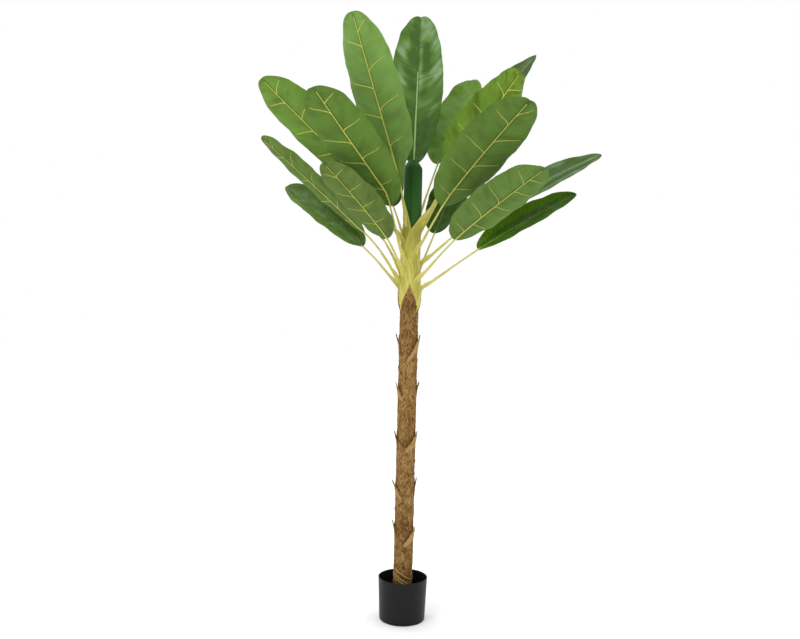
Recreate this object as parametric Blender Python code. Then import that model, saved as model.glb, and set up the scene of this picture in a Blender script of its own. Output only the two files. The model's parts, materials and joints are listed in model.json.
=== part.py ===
"""Artificial potted banana plant, about 2.5 m tall.

A plastic nursery pot with a poured filling holds one straight trunk that is
wrapped in old leaf bases.  Above the bark sits a yellow-green crown shaft of
folded leaf sheaths, which carries eighteen stalked leaves and, in its middle,
one leaf that is still rolled up.

Frame: metres, +Z up, origin at the centre of the pot's flat underside.
Azimuths are in degrees from +X towards +Y; the plant's front looks along -Y.
Leans are in degrees away from the vertical.
"""

import math

import bmesh
import bpy
from mathutils import Vector

# ----------------------------------------------------------------- sizes
GAP = 0.0003              # between pieces that touch

POT_HEIGHT = 0.168
POT_RIM_D = 0.195
POT_BASE_D = 0.180
POT_WALL = 0.0025
POT_FLOOR = 0.004
POT_HEEL = 0.006          # rounding between underside and wall
POT_SIDES = 32

FILL_TOP = 0.106          # level of the filling above the underside
FILL_SOCKET = 0.030       # the trunk's flat foot stands at this height

TRUNK_D = 0.073
TRUNK_FOOT_D = 0.074
TRUNK_TOP = 1.250
TRUNK_SIDES = 16
SCAR_TOP = 1.124          # tip of the highest pair of old leaf bases
SCAR_STEP = 0.190         # from one pair of old leaf bases to the next
SCAR_COUNT = 5
SCAR_REACH = 0.120        # how far below its tip a leaf base stands proud
SCAR_PROUD = 0.007

SHAFT_FOOT_D = 0.080
SHAFT_BELLY_D = 0.083
SHAFT_D = 0.080
SHAFT_TOP = 1.600
SHAFT_SIDES = 20
SOCKET_FLOOR = 1.520      # the rolled leaf stands in the shaft's open end
SOCKET_D = 0.073

ROLL_D = 0.071            # the rolled leaf in the middle
ROLL_TOP = 1.832
ROLL_SHIFT = 0.004        # its top leans a little to +X
ROLL_SIDES = 14

STALK_START_R = 0.0475    # stalks spring from the shaft's surface
STALK_THICK = 0.0060      # radius where a stalk leaves its sheath
STALK_THIN = 0.0035       # radius at the neck of the blade
STALK_STEPS = 8

BLADE_STATIONS = 13
BLADE_THICK = 0.0045      # at the midrib; the margins are thin

# One row for each leaf.  Numbers 17 and 18 stand at the back of the crown.
#  azimuth, exit height, stalk, blade, width, leans (exit, neck, base, tip),
#  roll about its own midrib, wider side (share), fold, tip bluntness; "cut"
#  is how much one half of a blade is cut back at its base, "lobe" how much
#  fuller its other half is there, and "point" sharpens the tip
LEAVES = {
    "01": dict(azimuth=-121, height=1.590, stalk=0.125, blade=0.67, width=0.213, lean=(14, 22, 34, 33), roll=0, skew=0.05, fold=4, blunt=2.8, cut=0.55),
    "02": dict(azimuth=86, height=1.603, stalk=0.235, blade=0.74, width=0.228, lean=(8, 12, 18, 20), roll=0, skew=0.0, fold=15, blunt=2.0),
    "03": dict(azimuth=-145, height=1.505, stalk=0.265, blade=0.55, width=0.184, lean=(36, 46, 54, 55), roll=28, skew=0.10, fold=4, blunt=2.8),
    "04": dict(azimuth=-122, height=1.415, stalk=0.240, blade=0.592, width=0.206, lean=(28, 27, 59, 58), roll=15, skew=0.0, fold=4, blunt=2.8),
    "05": dict(azimuth=-166, height=1.343, stalk=0.240, blade=0.535, width=0.160, lean=(26, 48, 49, 51), roll=13, skew=0.0, fold=8, blunt=2.6),
    "06": dict(azimuth=158, height=1.320, stalk=0.235, blade=0.450, width=0.160, lean=(38, 50, 50, 57), roll=-35, skew=-0.08, fold=8, blunt=2.8),
    "07": dict(azimuth=-132, height=1.375, stalk=0.160, blade=0.415, width=0.165, lean=(24, 46, 52, 59), roll=12, skew=0.10, fold=4, blunt=2.8),
    "08": dict(azimuth=118, height=1.505, stalk=0.196, blade=0.52, width=0.170, lean=(32, 38, 24, 24), roll=0, skew=0.0, fold=8, blunt=2.8),
    "09": dict(azimuth=60, height=1.585, stalk=0.320, blade=0.54, width=0.200, lean=(31, 33, 34, 36), roll=0, skew=0.0, fold=8, blunt=2.8),
    "10": dict(azimuth=-25, height=1.575, stalk=0.232, blade=0.455, width=0.210, lean=(30, 32, 35, 39), roll=-22, skew=0.0, fold=4, blunt=3.2, lobe=0.38),
    "11": dict(azimuth=-62, height=1.458, stalk=0.252, blade=0.59, width=0.200, lean=(48, 52, 60, 66), roll=-20, skew=-0.10, fold=4, blunt=2.8),
    "12": dict(azimuth=27, height=1.552, stalk=0.262, blade=0.712, width=0.190, lean=(29, 29, 30, 42), roll=20, skew=0.14, fold=10, blunt=2.1, point=0.75),
    "13": dict(azimuth=-52, height=1.348, stalk=0.262, blade=0.485, width=0.182, lean=(53, 58, 63, 67), roll=-18, skew=-0.13, fold=4, blunt=2.8),
    "14": dict(azimuth=8, height=1.418, stalk=0.252, blade=0.635, width=0.205, lean=(44, 54, 56, 65), roll=28, skew=-0.10, fold=10, blunt=2.1, point=0.65),
    "15": dict(azimuth=8, height=1.318, stalk=0.283, blade=0.475, width=0.172, lean=(53, 55, 56, 62), roll=30, skew=0.16, fold=8, blunt=2.0),
    "16": dict(azimuth=55, height=1.368, stalk=0.228, blade=0.46, width=0.188, lean=(34, 34, 34, 34), roll=5, skew=0.0, fold=8, blunt=2.8),
    "17": dict(azimuth=93, height=1.470, stalk=0.430, blade=0.52, width=0.165, lean=(12, 25, 30, 40), roll=0, skew=0.0, fold=10, blunt=2.6),
    "18": dict(azimuth=148, height=1.378, stalk=0.165, blade=0.44, width=0.155, lean=(22, 40, 44, 48), roll=0, skew=0.0, fold=8, blunt=2.8),
}

# ------------------------------------------------------------- materials
COLOURS = {                # base colour (linear), roughness
    "pot": ((0.012, 0.012, 0.013), 0.45),
    "filling": ((0.045, 0.042, 0.038), 0.9),
    "bark": ((0.25, 0.145, 0.05), 0.85),
    "shaft": ((0.52, 0.50, 0.12), 0.5),
    "stalk": ((0.50, 0.48, 0.14), 0.5),
    "rolled": ((0.02, 0.07, 0.02), 0.4),
    "blade": ((0.07, 0.20, 0.035), 0.42),
}


def material(name, kind):
    colour, roughness = COLOURS[kind]
    m = bpy.data.materials.new(name)
    m.use_nodes = True
    p = m.node_tree.nodes["Principled BSDF"]
    p.inputs["Base Color"].default_value = (*colour, 1.0)
    p.inputs["Roughness"].default_value = roughness
    p.inputs["Metallic"].default_value = 0.0
    m.diffuse_color = (*colour, 1.0)
    return m


# ---------------------------------------------------------------- helpers
def smoothstep(x):
    x = min(1.0, max(0.0, x))
    return x * x * (3.0 - 2.0 * x)


def link(name, data, kind, sharp=35.0):
    data.materials.append(material(name + "_finish", kind))
    ob = bpy.data.objects.new(name, data)
    bpy.context.scene.collection.objects.link(ob)
    if isinstance(data, bpy.types.Mesh):
        data.shade_smooth()
        data.set_sharp_from_angle(angle=math.radians(sharp))
    return ob


def loft(name, rings, kind, sharp=35.0):
    """Closed skin through rings of equal point count, with both ends filled."""
    bm = bmesh.new()
    verts = [[bm.verts.new(p) for p in ring] for ring in rings]
    n = len(rings[0])
    for lower, upper in zip(verts, verts[1:]):
        for i in range(n):
            j = (i + 1) % n
            bm.faces.new((lower[i], lower[j], upper[j], upper[i]))
    bm.faces.new(list(reversed(verts[0])))
    bm.faces.new(verts[-1])
    bmesh.ops.recalc_face_normals(bm, faces=bm.faces)
    bmesh.ops.triangulate(bm, faces=[f for f in bm.faces if len(f.verts) > 4])
    if bm.calc_volume(signed=True) < 0:
        bmesh.ops.reverse_faces(bm, faces=bm.faces)
    mesh = bpy.data.meshes.new(name)
    bm.to_mesh(mesh)
    bm.free()
    return link(name, mesh, kind, sharp)


def circle(r, z, sides, shift=0.0):
    return [Vector((shift + r * math.cos(2 * math.pi * i / sides),
                    r * math.sin(2 * math.pi * i / sides), z)) for i in range(sides)]


def turned(name, profile, sides, kind, sharp=35.0):
    """A body turned about Z; the profile starts and ends on the axis."""
    bm = bmesh.new()
    rings = []
    for r, z in profile:
        if r < 1e-9:
            rings.append([bm.verts.new((0.0, 0.0, z))])
        else:
            rings.append([bm.verts.new(p) for p in circle(r, z, sides)])
    for a, b in zip(rings, rings[1:]):
        for i in range(sides):
            j = (i + 1) % sides
            if len(a) == 1:
                bm.faces.new((a[0], b[j], b[i]))
            elif len(b) == 1:
                bm.faces.new((a[i], a[j], b[0]))
            else:
                bm.faces.new((a[i], a[j], b[j], b[i]))
    bmesh.ops.recalc_face_normals(bm, faces=bm.faces)
    if bm.calc_volume(signed=True) < 0:
        bmesh.ops.reverse_faces(bm, faces=bm.faces)
    mesh = bpy.data.meshes.new(name)
    bm.to_mesh(mesh)
    bm.free()
    return link(name, mesh, kind, sharp)


# -------------------------------------------------------------------- pot
def pot_radius(z):
    share = z / POT_HEIGHT
    return (POT_BASE_D + (POT_RIM_D - POT_BASE_D) * share) / 2


def make_pot():
    heel = [(pot_radius(POT_HEEL) - POT_HEEL * (1 - math.sin(a)),
             POT_HEEL * (1 - math.cos(a)))
            for a in (math.radians(d) for d in (0, 30, 60, 90))]
    outer = heel + [(pot_radius(POT_HEIGHT), POT_HEIGHT)]
    inner = [(pot_radius(POT_HEIGHT) - POT_WALL, POT_HEIGHT),
             (pot_radius(FILL_TOP) - POT_WALL, FILL_TOP),
             (pot_radius(POT_FLOOR) - POT_WALL - POT_HEEL * 0.5, POT_FLOOR)]
    turned("pot", [(0.0, 0.0)] + outer + inner + [(0.0, POT_FLOOR)],
           POT_SIDES, "pot")


def make_filling():
    clear = POT_WALL + GAP * 2
    low = POT_FLOOR + GAP
    profile = [(0.0, low),
               (pot_radius(POT_FLOOR) - clear - POT_HEEL * 0.5, low),
               (pot_radius(FILL_TOP) - clear, FILL_TOP - 0.002),
               (TRUNK_FOOT_D / 2 + 0.012, FILL_TOP),
               (TRUNK_FOOT_D / 2 + GAP * 2, FILL_TOP - 0.001),
               (TRUNK_FOOT_D / 2 + GAP * 2, FILL_SOCKET),
               (0.0, FILL_SOCKET)]
    turned("pot_filling", profile, POT_SIDES, "filling")


# ------------------------------------------------------------------ trunk
def scar_tips():
    """Heights of the tips of the old leaf bases, top pair first."""
    return [SCAR_TOP - SCAR_STEP * k for k in range(SCAR_COUNT)]


def trunk_radius(z, angle):
    share = z / TRUNK_TOP
    r = (TRUNK_FOOT_D + (TRUNK_D - TRUNK_FOOT_D) * share) / 2
    for k, tip in enumerate(scar_tips()):
        if tip - SCAR_REACH <= z <= tip + 1e-6:
            rise = ((z - tip + SCAR_REACH) / SCAR_REACH) ** 2
            side = abs(math.cos(angle - math.radians(12 * (k % 2)))) ** 3
            r += SCAR_PROUD * rise * side
    return r


def make_trunk():
    heights = [FILL_SOCKET + GAP, FILL_TOP, 0.16, TRUNK_TOP]
    for tip in scar_tips():
        heights += [tip - SCAR_REACH, tip - SCAR_REACH * 0.45, tip - 0.012,
                    tip, tip + 0.006]
    rings = []
    for z in sorted(heights):
        rings.append([Vector((trunk_radius(z, a) * math.cos(a),
                              trunk_radius(z, a) * math.sin(a), z))
                      for a in (2 * math.pi * i / TRUNK_SIDES
                                for i in range(TRUNK_SIDES))])
    loft("trunk", rings, "bark")


# ------------------------------------------------------------ crown shaft
def make_shaft():
    low = TRUNK_TOP + GAP
    profile = [(0.0, low), (SHAFT_FOOT_D / 2, low),
               (SHAFT_BELLY_D / 2, low + 0.06), (SHAFT_BELLY_D / 2, low + 0.11),
               (SHAFT_D / 2, low + 0.18), (SHAFT_D / 2, SHAFT_TOP - 0.05),
               (SHAFT_D / 2 - 0.001, SHAFT_TOP),
               (SOCKET_D / 2 + 0.001, SHAFT_TOP),
               (SOCKET_D / 2, SOCKET_FLOOR), (0.0, SOCKET_FLOOR)]
    turned("crown_shaft", profile, SHAFT_SIDES, "shaft")


def make_rolled_leaf():
    """One leaf, still rolled: a plump spindle with a blunt, sloping top."""
    low = SOCKET_FLOOR + GAP
    rise = ROLL_TOP - low
    steps = [(0.0, 0.70), (0.12, 0.92), (0.35, 1.0), (0.75, 1.0), (0.90, 0.98),
             (0.96, 0.72), (1.0, 0.34)]
    rings = []
    for share, size in steps:
        rings.append(circle(ROLL_D / 2 * size, low + rise * share, ROLL_SIDES,
                            ROLL_SHIFT * share))
    loft("rolled_leaf", rings, "rolled")


# ----------------------------------------------------------------- leaves
def lean_at(leans, s):
    """Lean along a leaf: s runs 0..1 on the stalk and 1..2 on the blade."""
    exit_, neck, base, tip = leans
    if s <= 1.0:
        return exit_ + (neck - exit_) * s
    w = s - 1.0
    return neck + (base - neck) * smoothstep(w / 0.16) + (tip - base) * w


def leaf_frame(leaf, s):
    """Direction along the leaf, across it and out of its upper face."""
    a = math.radians(leaf["azimuth"])
    lam = math.radians(lean_at(leaf["lean"], s))
    along = Vector((math.sin(lam) * math.cos(a), math.sin(lam) * math.sin(a), math.cos(lam)))
    across = Vector((-math.sin(a), math.cos(a), 0.0))
    up = Vector((-math.cos(lam) * math.cos(a), -math.cos(lam) * math.sin(a), math.sin(lam)))
    turn = math.radians(leaf["roll"] * min(1.0, s))
    return (along, across * math.cos(turn) + up * math.sin(turn),
            up * math.cos(turn) - across * math.sin(turn))


def half_width(leaf, w):
    """Outline of a blade: quick swell at the base, long sides, blunt tip."""
    if w < 0.5:
        share = math.sin(math.pi / 2 * (w / 0.5) ** 0.55)
    else:
        share = (1.0 - ((w - 0.5) / 0.5) ** leaf["blunt"]) ** leaf.get("point", 0.5)
    return share * leaf["width"] / 2


def leaf_line(leaf, part, steps):
    """Points along the stalk (part 0) or along the blade's midrib (part 1)."""
    fine = 24
    a = math.radians(leaf["azimuth"])
    point = Vector((STALK_START_R * math.cos(a), STALK_START_R * math.sin(a), leaf["height"]))
    lengths = (leaf["stalk"], leaf["blade"])
    for p in range(part + 1):
        total = steps if p == part else 12
        line = [point.copy()]
        for i in range(total):
            for k in range(fine):
                s = p + (i + (k + 0.5) / fine) / total
                point = point + leaf_frame(leaf, s)[0] * (lengths[p] / total / fine)
            line.append(point.copy())
    return line


def make_stalk(number, leaf):
    line = leaf_line(leaf, 0, STALK_STEPS)
    line[-1] = line[-1] + (line[-2] - line[-1]).normalized() * 0.003
    curve = bpy.data.curves.new("leaf_%s_stalk" % number, "CURVE")
    curve.dimensions = "3D"
    curve.bevel_depth = 1.0
    curve.bevel_resolution = 2
    curve.use_fill_caps = True
    spline = curve.splines.new("POLY")
    spline.points.add(len(line) - 1)
    for i, p in enumerate(line):
        share = i / (len(line) - 1)
        spline.points[i].co = (*p, 1.0)
        spline.points[i].radius = STALK_THIN + (STALK_THICK - STALK_THIN) * (1 - share) ** 2
    link("leaf_%s_stalk" % number, curve, "stalk")


def make_blade(number, leaf):
    """A thin closed blade: a lens-shaped section carried along the midrib."""
    line = leaf_line(leaf, 1, BLADE_STATIONS)
    fold = math.radians(leaf["fold"])
    rings = []
    for i in range(BLADE_STATIONS + 1):
        w = i / BLADE_STATIONS
        w_edge = min(0.995, max(0.006, w))
        _, across, up = leaf_frame(leaf, 1.0 + w)
        wide = half_width(leaf, w_edge)
        slim = 1.0 - leaf.get("cut", 0.0) * (1.0 - smoothstep((w_edge - 0.10) / 0.16))
        plump = 1.0 + leaf.get("lobe", 0.0) * (1.0 - smoothstep((w_edge - 0.25) / 0.55))
        ring = []
        for share, face in ((-1, 0), (-0.55, 1), (0, 1), (0.55, 1),
                            (1, 0), (0.55, -1), (0, -1), (-0.55, -1)):
            side = wide * (1 + leaf["skew"] * (1 if share > 0 else -1)) * share
            side *= slim if share > 0 else plump
            thick = BLADE_THICK / 2 * (1 - 0.7 * abs(share)) * (1.0 - 0.6 * w)
            ring.append(line[i] + across * (side * math.cos(fold))
                        + up * (abs(side) * math.sin(fold) + face * thick))
        rings.append(ring)
    loft("leaf_%s_blade" % number, rings, "blade", 60.0)


# -------------------------------------------------------------------- all
def main():
    for ob in list(bpy.data.objects):
        bpy.data.objects.remove(ob, do_unlink=True)
    make_pot()
    make_filling()
    make_trunk()
    make_shaft()
    make_rolled_leaf()
    for number, leaf in LEAVES.items():
        make_stalk(number, leaf)
        make_blade(number, leaf)


main()
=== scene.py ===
"""Looks for the artificial potted banana plant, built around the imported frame.

Frame: metres, +Z up, origin at the centre of the pot's flat underside; the
plant's front looks along -Y.  Azimuths are in degrees from +X towards +Y.
Every solid of the frame is stood for here by a finer mesh in the same place:
pleated blades with raised ribs, U-shaped leaf sheaths, a fibrous bark with
old leaf bases, a rolled leaf and a turned pot with its filling.
"""

import json
import math

import bpy
import numpy as np
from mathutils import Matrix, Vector

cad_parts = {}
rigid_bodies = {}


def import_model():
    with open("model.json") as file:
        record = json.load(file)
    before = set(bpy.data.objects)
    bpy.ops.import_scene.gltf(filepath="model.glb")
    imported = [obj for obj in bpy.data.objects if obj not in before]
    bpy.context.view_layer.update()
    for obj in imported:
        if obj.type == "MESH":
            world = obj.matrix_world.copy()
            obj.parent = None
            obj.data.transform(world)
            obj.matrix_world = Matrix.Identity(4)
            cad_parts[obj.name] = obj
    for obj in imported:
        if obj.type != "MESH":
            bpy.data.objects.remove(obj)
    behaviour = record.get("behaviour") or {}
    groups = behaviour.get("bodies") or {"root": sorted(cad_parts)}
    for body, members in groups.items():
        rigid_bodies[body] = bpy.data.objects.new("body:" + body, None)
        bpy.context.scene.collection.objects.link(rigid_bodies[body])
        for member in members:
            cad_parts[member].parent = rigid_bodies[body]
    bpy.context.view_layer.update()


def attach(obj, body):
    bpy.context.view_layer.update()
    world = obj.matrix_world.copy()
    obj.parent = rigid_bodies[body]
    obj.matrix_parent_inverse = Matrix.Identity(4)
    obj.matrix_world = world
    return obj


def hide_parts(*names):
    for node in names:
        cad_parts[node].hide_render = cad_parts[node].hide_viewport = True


for ob in list(bpy.data.objects):
    bpy.data.objects.remove(ob, do_unlink=True)
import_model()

# ------------------------------------------------------------------ sizes
POT_HEIGHT, POT_RIM_D, POT_BASE_D = 0.168, 0.195, 0.180
POT_WALL, POT_FLOOR, POT_HEEL = 0.0025, 0.004, 0.006
FILL_TOP, FILL_SOCKET = 0.106, 0.030
TRUNK_D, TRUNK_FOOT_D, TRUNK_TOP = 0.073, 0.074, 1.250
GAP = 0.0003

STALK_START_R = 0.0475
ROW_PITCH = 0.0031
BLADE_COLS = 26
BLADE_THICK = 0.0016

LEAVES = {
    "01": dict(azimuth=-121, height=1.590, stalk=0.125, blade=0.67, width=0.213, lean=(14, 22, 34, 33), roll=0, skew=0.05, fold=4, blunt=2.8, cut=0.55),
    "02": dict(azimuth=86, height=1.603, stalk=0.235, blade=0.74, width=0.228, lean=(8, 12, 18, 20), roll=0, skew=0.0, fold=15, blunt=2.0),
    "03": dict(azimuth=-145, height=1.505, stalk=0.265, blade=0.55, width=0.184, lean=(36, 46, 54, 55), roll=28, skew=0.10, fold=4, blunt=2.8),
    "04": dict(azimuth=-122, height=1.415, stalk=0.240, blade=0.592, width=0.206, lean=(28, 27, 59, 58), roll=15, skew=0.0, fold=4, blunt=2.8),
    "05": dict(azimuth=-166, height=1.343, stalk=0.240, blade=0.535, width=0.160, lean=(26, 48, 49, 51), roll=13, skew=0.0, fold=8, blunt=2.6),
    "06": dict(azimuth=158, height=1.320, stalk=0.235, blade=0.450, width=0.160, lean=(38, 50, 50, 57), roll=-35, skew=-0.08, fold=8, blunt=2.8),
    "07": dict(azimuth=-132, height=1.375, stalk=0.160, blade=0.415, width=0.165, lean=(24, 46, 52, 59), roll=12, skew=0.10, fold=4, blunt=2.8),
    "08": dict(azimuth=118, height=1.505, stalk=0.196, blade=0.52, width=0.170, lean=(32, 38, 24, 24), roll=0, skew=0.0, fold=8, blunt=2.8),
    "09": dict(azimuth=60, height=1.585, stalk=0.320, blade=0.54, width=0.200, lean=(31, 33, 34, 36), roll=0, skew=0.0, fold=8, blunt=2.8),
    "10": dict(azimuth=-25, height=1.575, stalk=0.232, blade=0.455, width=0.210, lean=(30, 32, 35, 39), roll=-22, skew=0.0, fold=4, blunt=3.2, lobe=0.38),
    "11": dict(azimuth=-62, height=1.458, stalk=0.252, blade=0.59, width=0.200, lean=(48, 52, 60, 66), roll=-20, skew=-0.10, fold=4, blunt=2.8),
    "12": dict(azimuth=27, height=1.552, stalk=0.262, blade=0.712, width=0.190, lean=(29, 29, 30, 42), roll=20, skew=0.14, fold=10, blunt=2.1, point=0.75),
    "13": dict(azimuth=-52, height=1.348, stalk=0.262, blade=0.485, width=0.182, lean=(53, 58, 63, 67), roll=-18, skew=-0.13, fold=4, blunt=2.8),
    "14": dict(azimuth=8, height=1.418, stalk=0.252, blade=0.635, width=0.205, lean=(44, 54, 56, 65), roll=28, skew=-0.10, fold=10, blunt=2.1, point=0.65),
    "15": dict(azimuth=8, height=1.318, stalk=0.283, blade=0.475, width=0.172, lean=(53, 55, 56, 62), roll=30, skew=0.16, fold=8, blunt=2.0),
    "16": dict(azimuth=55, height=1.368, stalk=0.228, blade=0.46, width=0.188, lean=(34, 34, 34, 34), roll=5, skew=0.0, fold=8, blunt=2.8),
    "17": dict(azimuth=93, height=1.470, stalk=0.430, blade=0.52, width=0.165, lean=(12, 25, 30, 40), roll=0, skew=0.0, fold=10, blunt=2.6),
    "18": dict(azimuth=148, height=1.378, stalk=0.165, blade=0.44, width=0.155, lean=(22, 40, 44, 48), roll=0, skew=0.0, fold=8, blunt=2.8),
}

# How each leaf is finished.  Colours are sRGB, 0 to 255.  "veins" is where
# the side veins leave the midrib on its two sides, as shares of the blade;
# "rise" is how far towards the tip those veins climb, in metres;
# "ends" is how light the base and the tip are painted, a
# painted light and shade along the leaf; "sheen_shade_strength" is the strength
# of the broad streaks, mottling with painted sheen and painted shade;
# "sheen_shade_strips" are long lighter or darker strips of painted sheen and
# painted shade beside the midrib: (side, middle, spread, gain, first and last
# share of the blade);
# "stripes" are pale printed bars towards a margin: (side, where they start
# across the half, strength, colour);
# "calm" below 1 quietens the broad streaks, and "midrib_shadow" is the painted
# shadow, a dark line beside the midrib; "sheen" is how far the pale streaks on
# the upper face turn to a painted sheen colour; "vein" is how bright the ribs are,
# "under_sheen_mottling" how patchy the underside is, mottling with painted sheen, and
# "crumple" how deep its creases are, in metres;
# "sheath" is its width at the exit and how fast it widens below.
COMMON_VEINS = ((0.11, 0.32, 0.52, 0.78), (0.17, 0.40, 0.63, 0.86))
FINISH = {
    "01": dict(bold=1.00, under=(114, 150, 73), upper=(52, 84, 30), veins=((0.19, 0.41, 0.58, 0.81), (0.25, 0.46, 0.68, 0.89)), notch=0.002, ripple=0.0030, sheath=(0.026, 0.50), rise=(0.034, 0.046), ends=(0.80, 0.98)),
    "02": dict(crumple=0.0016, under=(86, 115, 48), upper=(84, 122, 46), pale_rib=0.60, rib=1.25, vein_fold_shade=0.0025, veins=((0.10, 0.29, 0.54, 0.76), (0.14, 0.34, 0.61, 0.85)), notch=0.008, ripple=0.0045, sheath=(0.034, 0.90), ends=(0.46, 1.04), sheen_shade_strength=1.0, sheen=0.62,
               sheen_shade_strips=((1, 0.20, 0.20, -0.55, 0.40, 0.84), (1, 0.20, 0.30, -0.55, 0.70, 1.1), (1, 0.66, 0.22, 0.50, 0.36, 0.70),
                      (1, 0.40, 0.50, -0.55, 0.0, 0.44), (1, 0.88, 0.10, 0.08, 0.72, 0.98),
                      (-1, 0.30, 0.36, 0.30, 0.80, 1.1), (-1, 0.32, 0.15, -0.85, 0.50, 0.84), (-1, 0.27, 0.15, -0.60, 0.34, 0.58),
                      (-1, 0.05, 0.07, 0.48, 0.42, 0.84), (-1, 0.80, 0.22, 0.42, 0.36, 0.96), (-1, 0.60, 0.28, 0.75, 0.27, 0.42),
                      (-1, 0.40, 0.60, -0.80, 0.0, 0.33), (-1, 0.22, 0.05, 0.75, 0.18, 0.34))),
    "03": dict(bold=0.80, vein=1.06, under=(101, 134, 54), upper=(52, 84, 30), veins=((0.10, 0.31, 0.52, 0.78), (0.18, 0.41, 0.63, 0.86)), notch=0.002, ripple=0.0030, sheath=(0.030, 0.80), rise=(0.030, 0.034)),
    "04": dict(bold=0.95, vein=0.96, under=(87, 118, 46), upper=(52, 84, 30), veins=((0.11, 0.35, 0.54, 0.79), (0.16, 0.41, 0.65, 0.87)), notch=0.003, ripple=0.0030, sheath=(0.034, 0.52), rise=(0.056, 0.026), ends=(1.12, 1.04)),
    "05": dict(bold=0.62, under=(86, 112, 46), upper=(52, 84, 30), veins=((0.11, 0.32, 0.53, 0.78), (0.25, 0.49, 0.69, 0.88)), notch=0.002, ripple=0.0030, sheath=(0.030, 0.90)),
    "06": dict(rib=0.06, gloss=0.05, calm=0.6, stripes=(1, 0.40, 0.80, (108, 136, 44)), under=(86, 115, 48), upper=(80, 108, 50), notch=0.003, ripple=0.0022, sheath=(0.032, 1.00), ends=(1.12, 0.90), sheen_shade_strength=0.75,
               sheen_shade_strips=((1, 0.22, 0.20, 0.22, 0.0, 1.1), (1, 0.60, 0.20, -0.16, 0.0, 1.1), (-1, 0.60, 0.40, -0.26, 0.0, 1.0), (-1, 0.14, 0.12, 0.24, 0.0, 1.0))),
    "07": dict(bold=0.64, under=(87, 109, 49), upper=(52, 84, 30), veins=((0.18, 0.35, 0.54, 0.80), (0.21, 0.41, 0.62, 0.82)), notch=0.002, ripple=0.0030, sheath=(0.026, 0.78), rise=(0.042, 0.023)),
    "08": dict(under=(86, 115, 48), upper=(46, 76, 28), notch=0.002, ripple=0.0035, sheath=(0.034, 0.90)),
    "09": dict(rib=0.12, under=(86, 115, 48), upper=(100, 138, 46), notch=0.005, ripple=0.0035, sheath=(0.030, 0.90), ends=(1.60, 0.92)),
    "10": dict(bold=0.85, vein=1.12, under_sheen_mottling=0.95, crumple=0.0030, under=(104, 137, 43), upper=(52, 84, 30), veins=((0.12, 0.31, 0.51, 0.76), (0.16, 0.38, 0.60, 0.81)), notch=0.002, ripple=0.0045, sheath=(0.058, 1.90), rise=(0.026, 0.036)),
    "11": dict(bold=0.90, vein=0.88, under=(85, 114, 46), upper=(52, 84, 30), veins=((0.10, 0.32, 0.52, 0.78), (0.15, 0.38, 0.62, 0.86)), notch=0.003, ripple=0.0030, sheath=(0.026, 0.65), rise=(0.036, 0.057), ends=(1.14, 0.96)),
    "12": dict(rib=1.0, midrib_shadow=0.0, calm=0.5, under=(86, 115, 48), upper=(66, 90, 42), notch=0.000, ripple=0.0016, sheath=(0.030, 0.90), sheen_shade_strength=0.45,
               sheen_shade_strips=((1, 0.5, 0.5, 0.30, 0.0, 1.1), (-1, 0.5, 0.5, -0.30, 0.0, 1.1))),
    "13": dict(bold=0.70, vein=0.96, under=(88, 116, 51), upper=(52, 84, 30), veins=((0.11, 0.32, 0.52, 0.78), (0.22, 0.47, 0.68, 0.84)), notch=0.002, ripple=0.0030, sheath=(0.036, 1.40), rise=(0.044, 0.022)),
    "14": dict(rib=1.00, midrib_shadow=0.0, calm=0.35, under=(86, 115, 48), upper=(66, 96, 40), notch=0.0, ripple=0.0016, sheath=(0.030, 0.90), sheen_shade_strength=1.0,
               sheen_shade_strips=((1, 0.05, 0.10, 0.50, 0.3, 1.1), (1, 0.42, 0.22, -0.40, 0.3, 1.0), (1, 0.88, 0.10, 0.50, 0.3, 0.80), (-1, 0.05, 0.12, 0.50, 0.2, 1.1), (-1, 0.30, 0.10, -0.60, 0.0, 1.1), (-1, 0.52, 0.11, 0.45, 0.2, 1.0))),
    "15": dict(rib=0.45, gloss=0.03, midrib_shadow=0.0, calm=0.5, stripes=(1, 0.34, 0.75, (104, 150, 16)), under=(86, 115, 48), upper=(72, 112, 16), notch=0.0, ripple=0.0018, sheath=(0.030, 1.10), sheen_shade_strength=0.75,
               sheen_shade_strips=((1, 0.30, 0.40, -0.45, 0.0, 1.1), (-1, 0.08, 0.12, 0.60, 0.25, 1.0), (-1, 0.60, 0.26, -0.40, 0.0, 0.55), (-1, 0.50, 0.26, 0.30, 0.55, 0.9))),
    "16": dict(under=(86, 115, 48), upper=(56, 86, 18), notch=0.002, ripple=0.0030, sheath=(0.030, 0.90)),
    "17": dict(under=(86, 115, 48), upper=(54, 86, 32), notch=0.003, ripple=0.0040, sheath=(0.032, 0.90)),
    "18": dict(under=(86, 115, 48), upper=(54, 86, 32), notch=0.003, ripple=0.0040, sheath=(0.032, 0.90)),
}


# ---------------------------------------------------------------- numbers
def smooth(x):
    x = np.clip(x, 0.0, 1.0)
    return x * x * (3.0 - 2.0 * x)


def unit(v):
    return v / np.maximum(np.linalg.norm(v, axis=-1, keepdims=True), 1e-12)


def linear(rgb):
    """sRGB 0..255 to a linear colour."""
    out = []
    for c in rgb:
        c /= 255.0
        out.append(c / 12.92 if c <= 0.04045 else ((c + 0.055) / 1.055) ** 2.4)
    return tuple(out)


def value_noise(u, v, cells, seed):
    """Smooth noise in -1..1; u runs round (period 1), v is in cells."""
    nu, nv = cells
    grid = np.random.default_rng(seed).random((nu, nv + 3)) * 2 - 1
    x = np.mod(u, 1.0) * nu
    y = np.clip(v, 0, 1) * nv
    i, j = np.floor(x).astype(int), np.floor(y).astype(int)
    fx, fy = smooth(x - i), smooth(y - j)
    i0, i1, j0, j1 = i % nu, (i + 1) % nu, j, j + 1
    low = grid[i0, j0] * (1 - fx) + grid[i1, j0] * fx
    high = grid[i0, j1] * (1 - fx) + grid[i1, j1] * fx
    return low * (1 - fy) + high * fy


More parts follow.
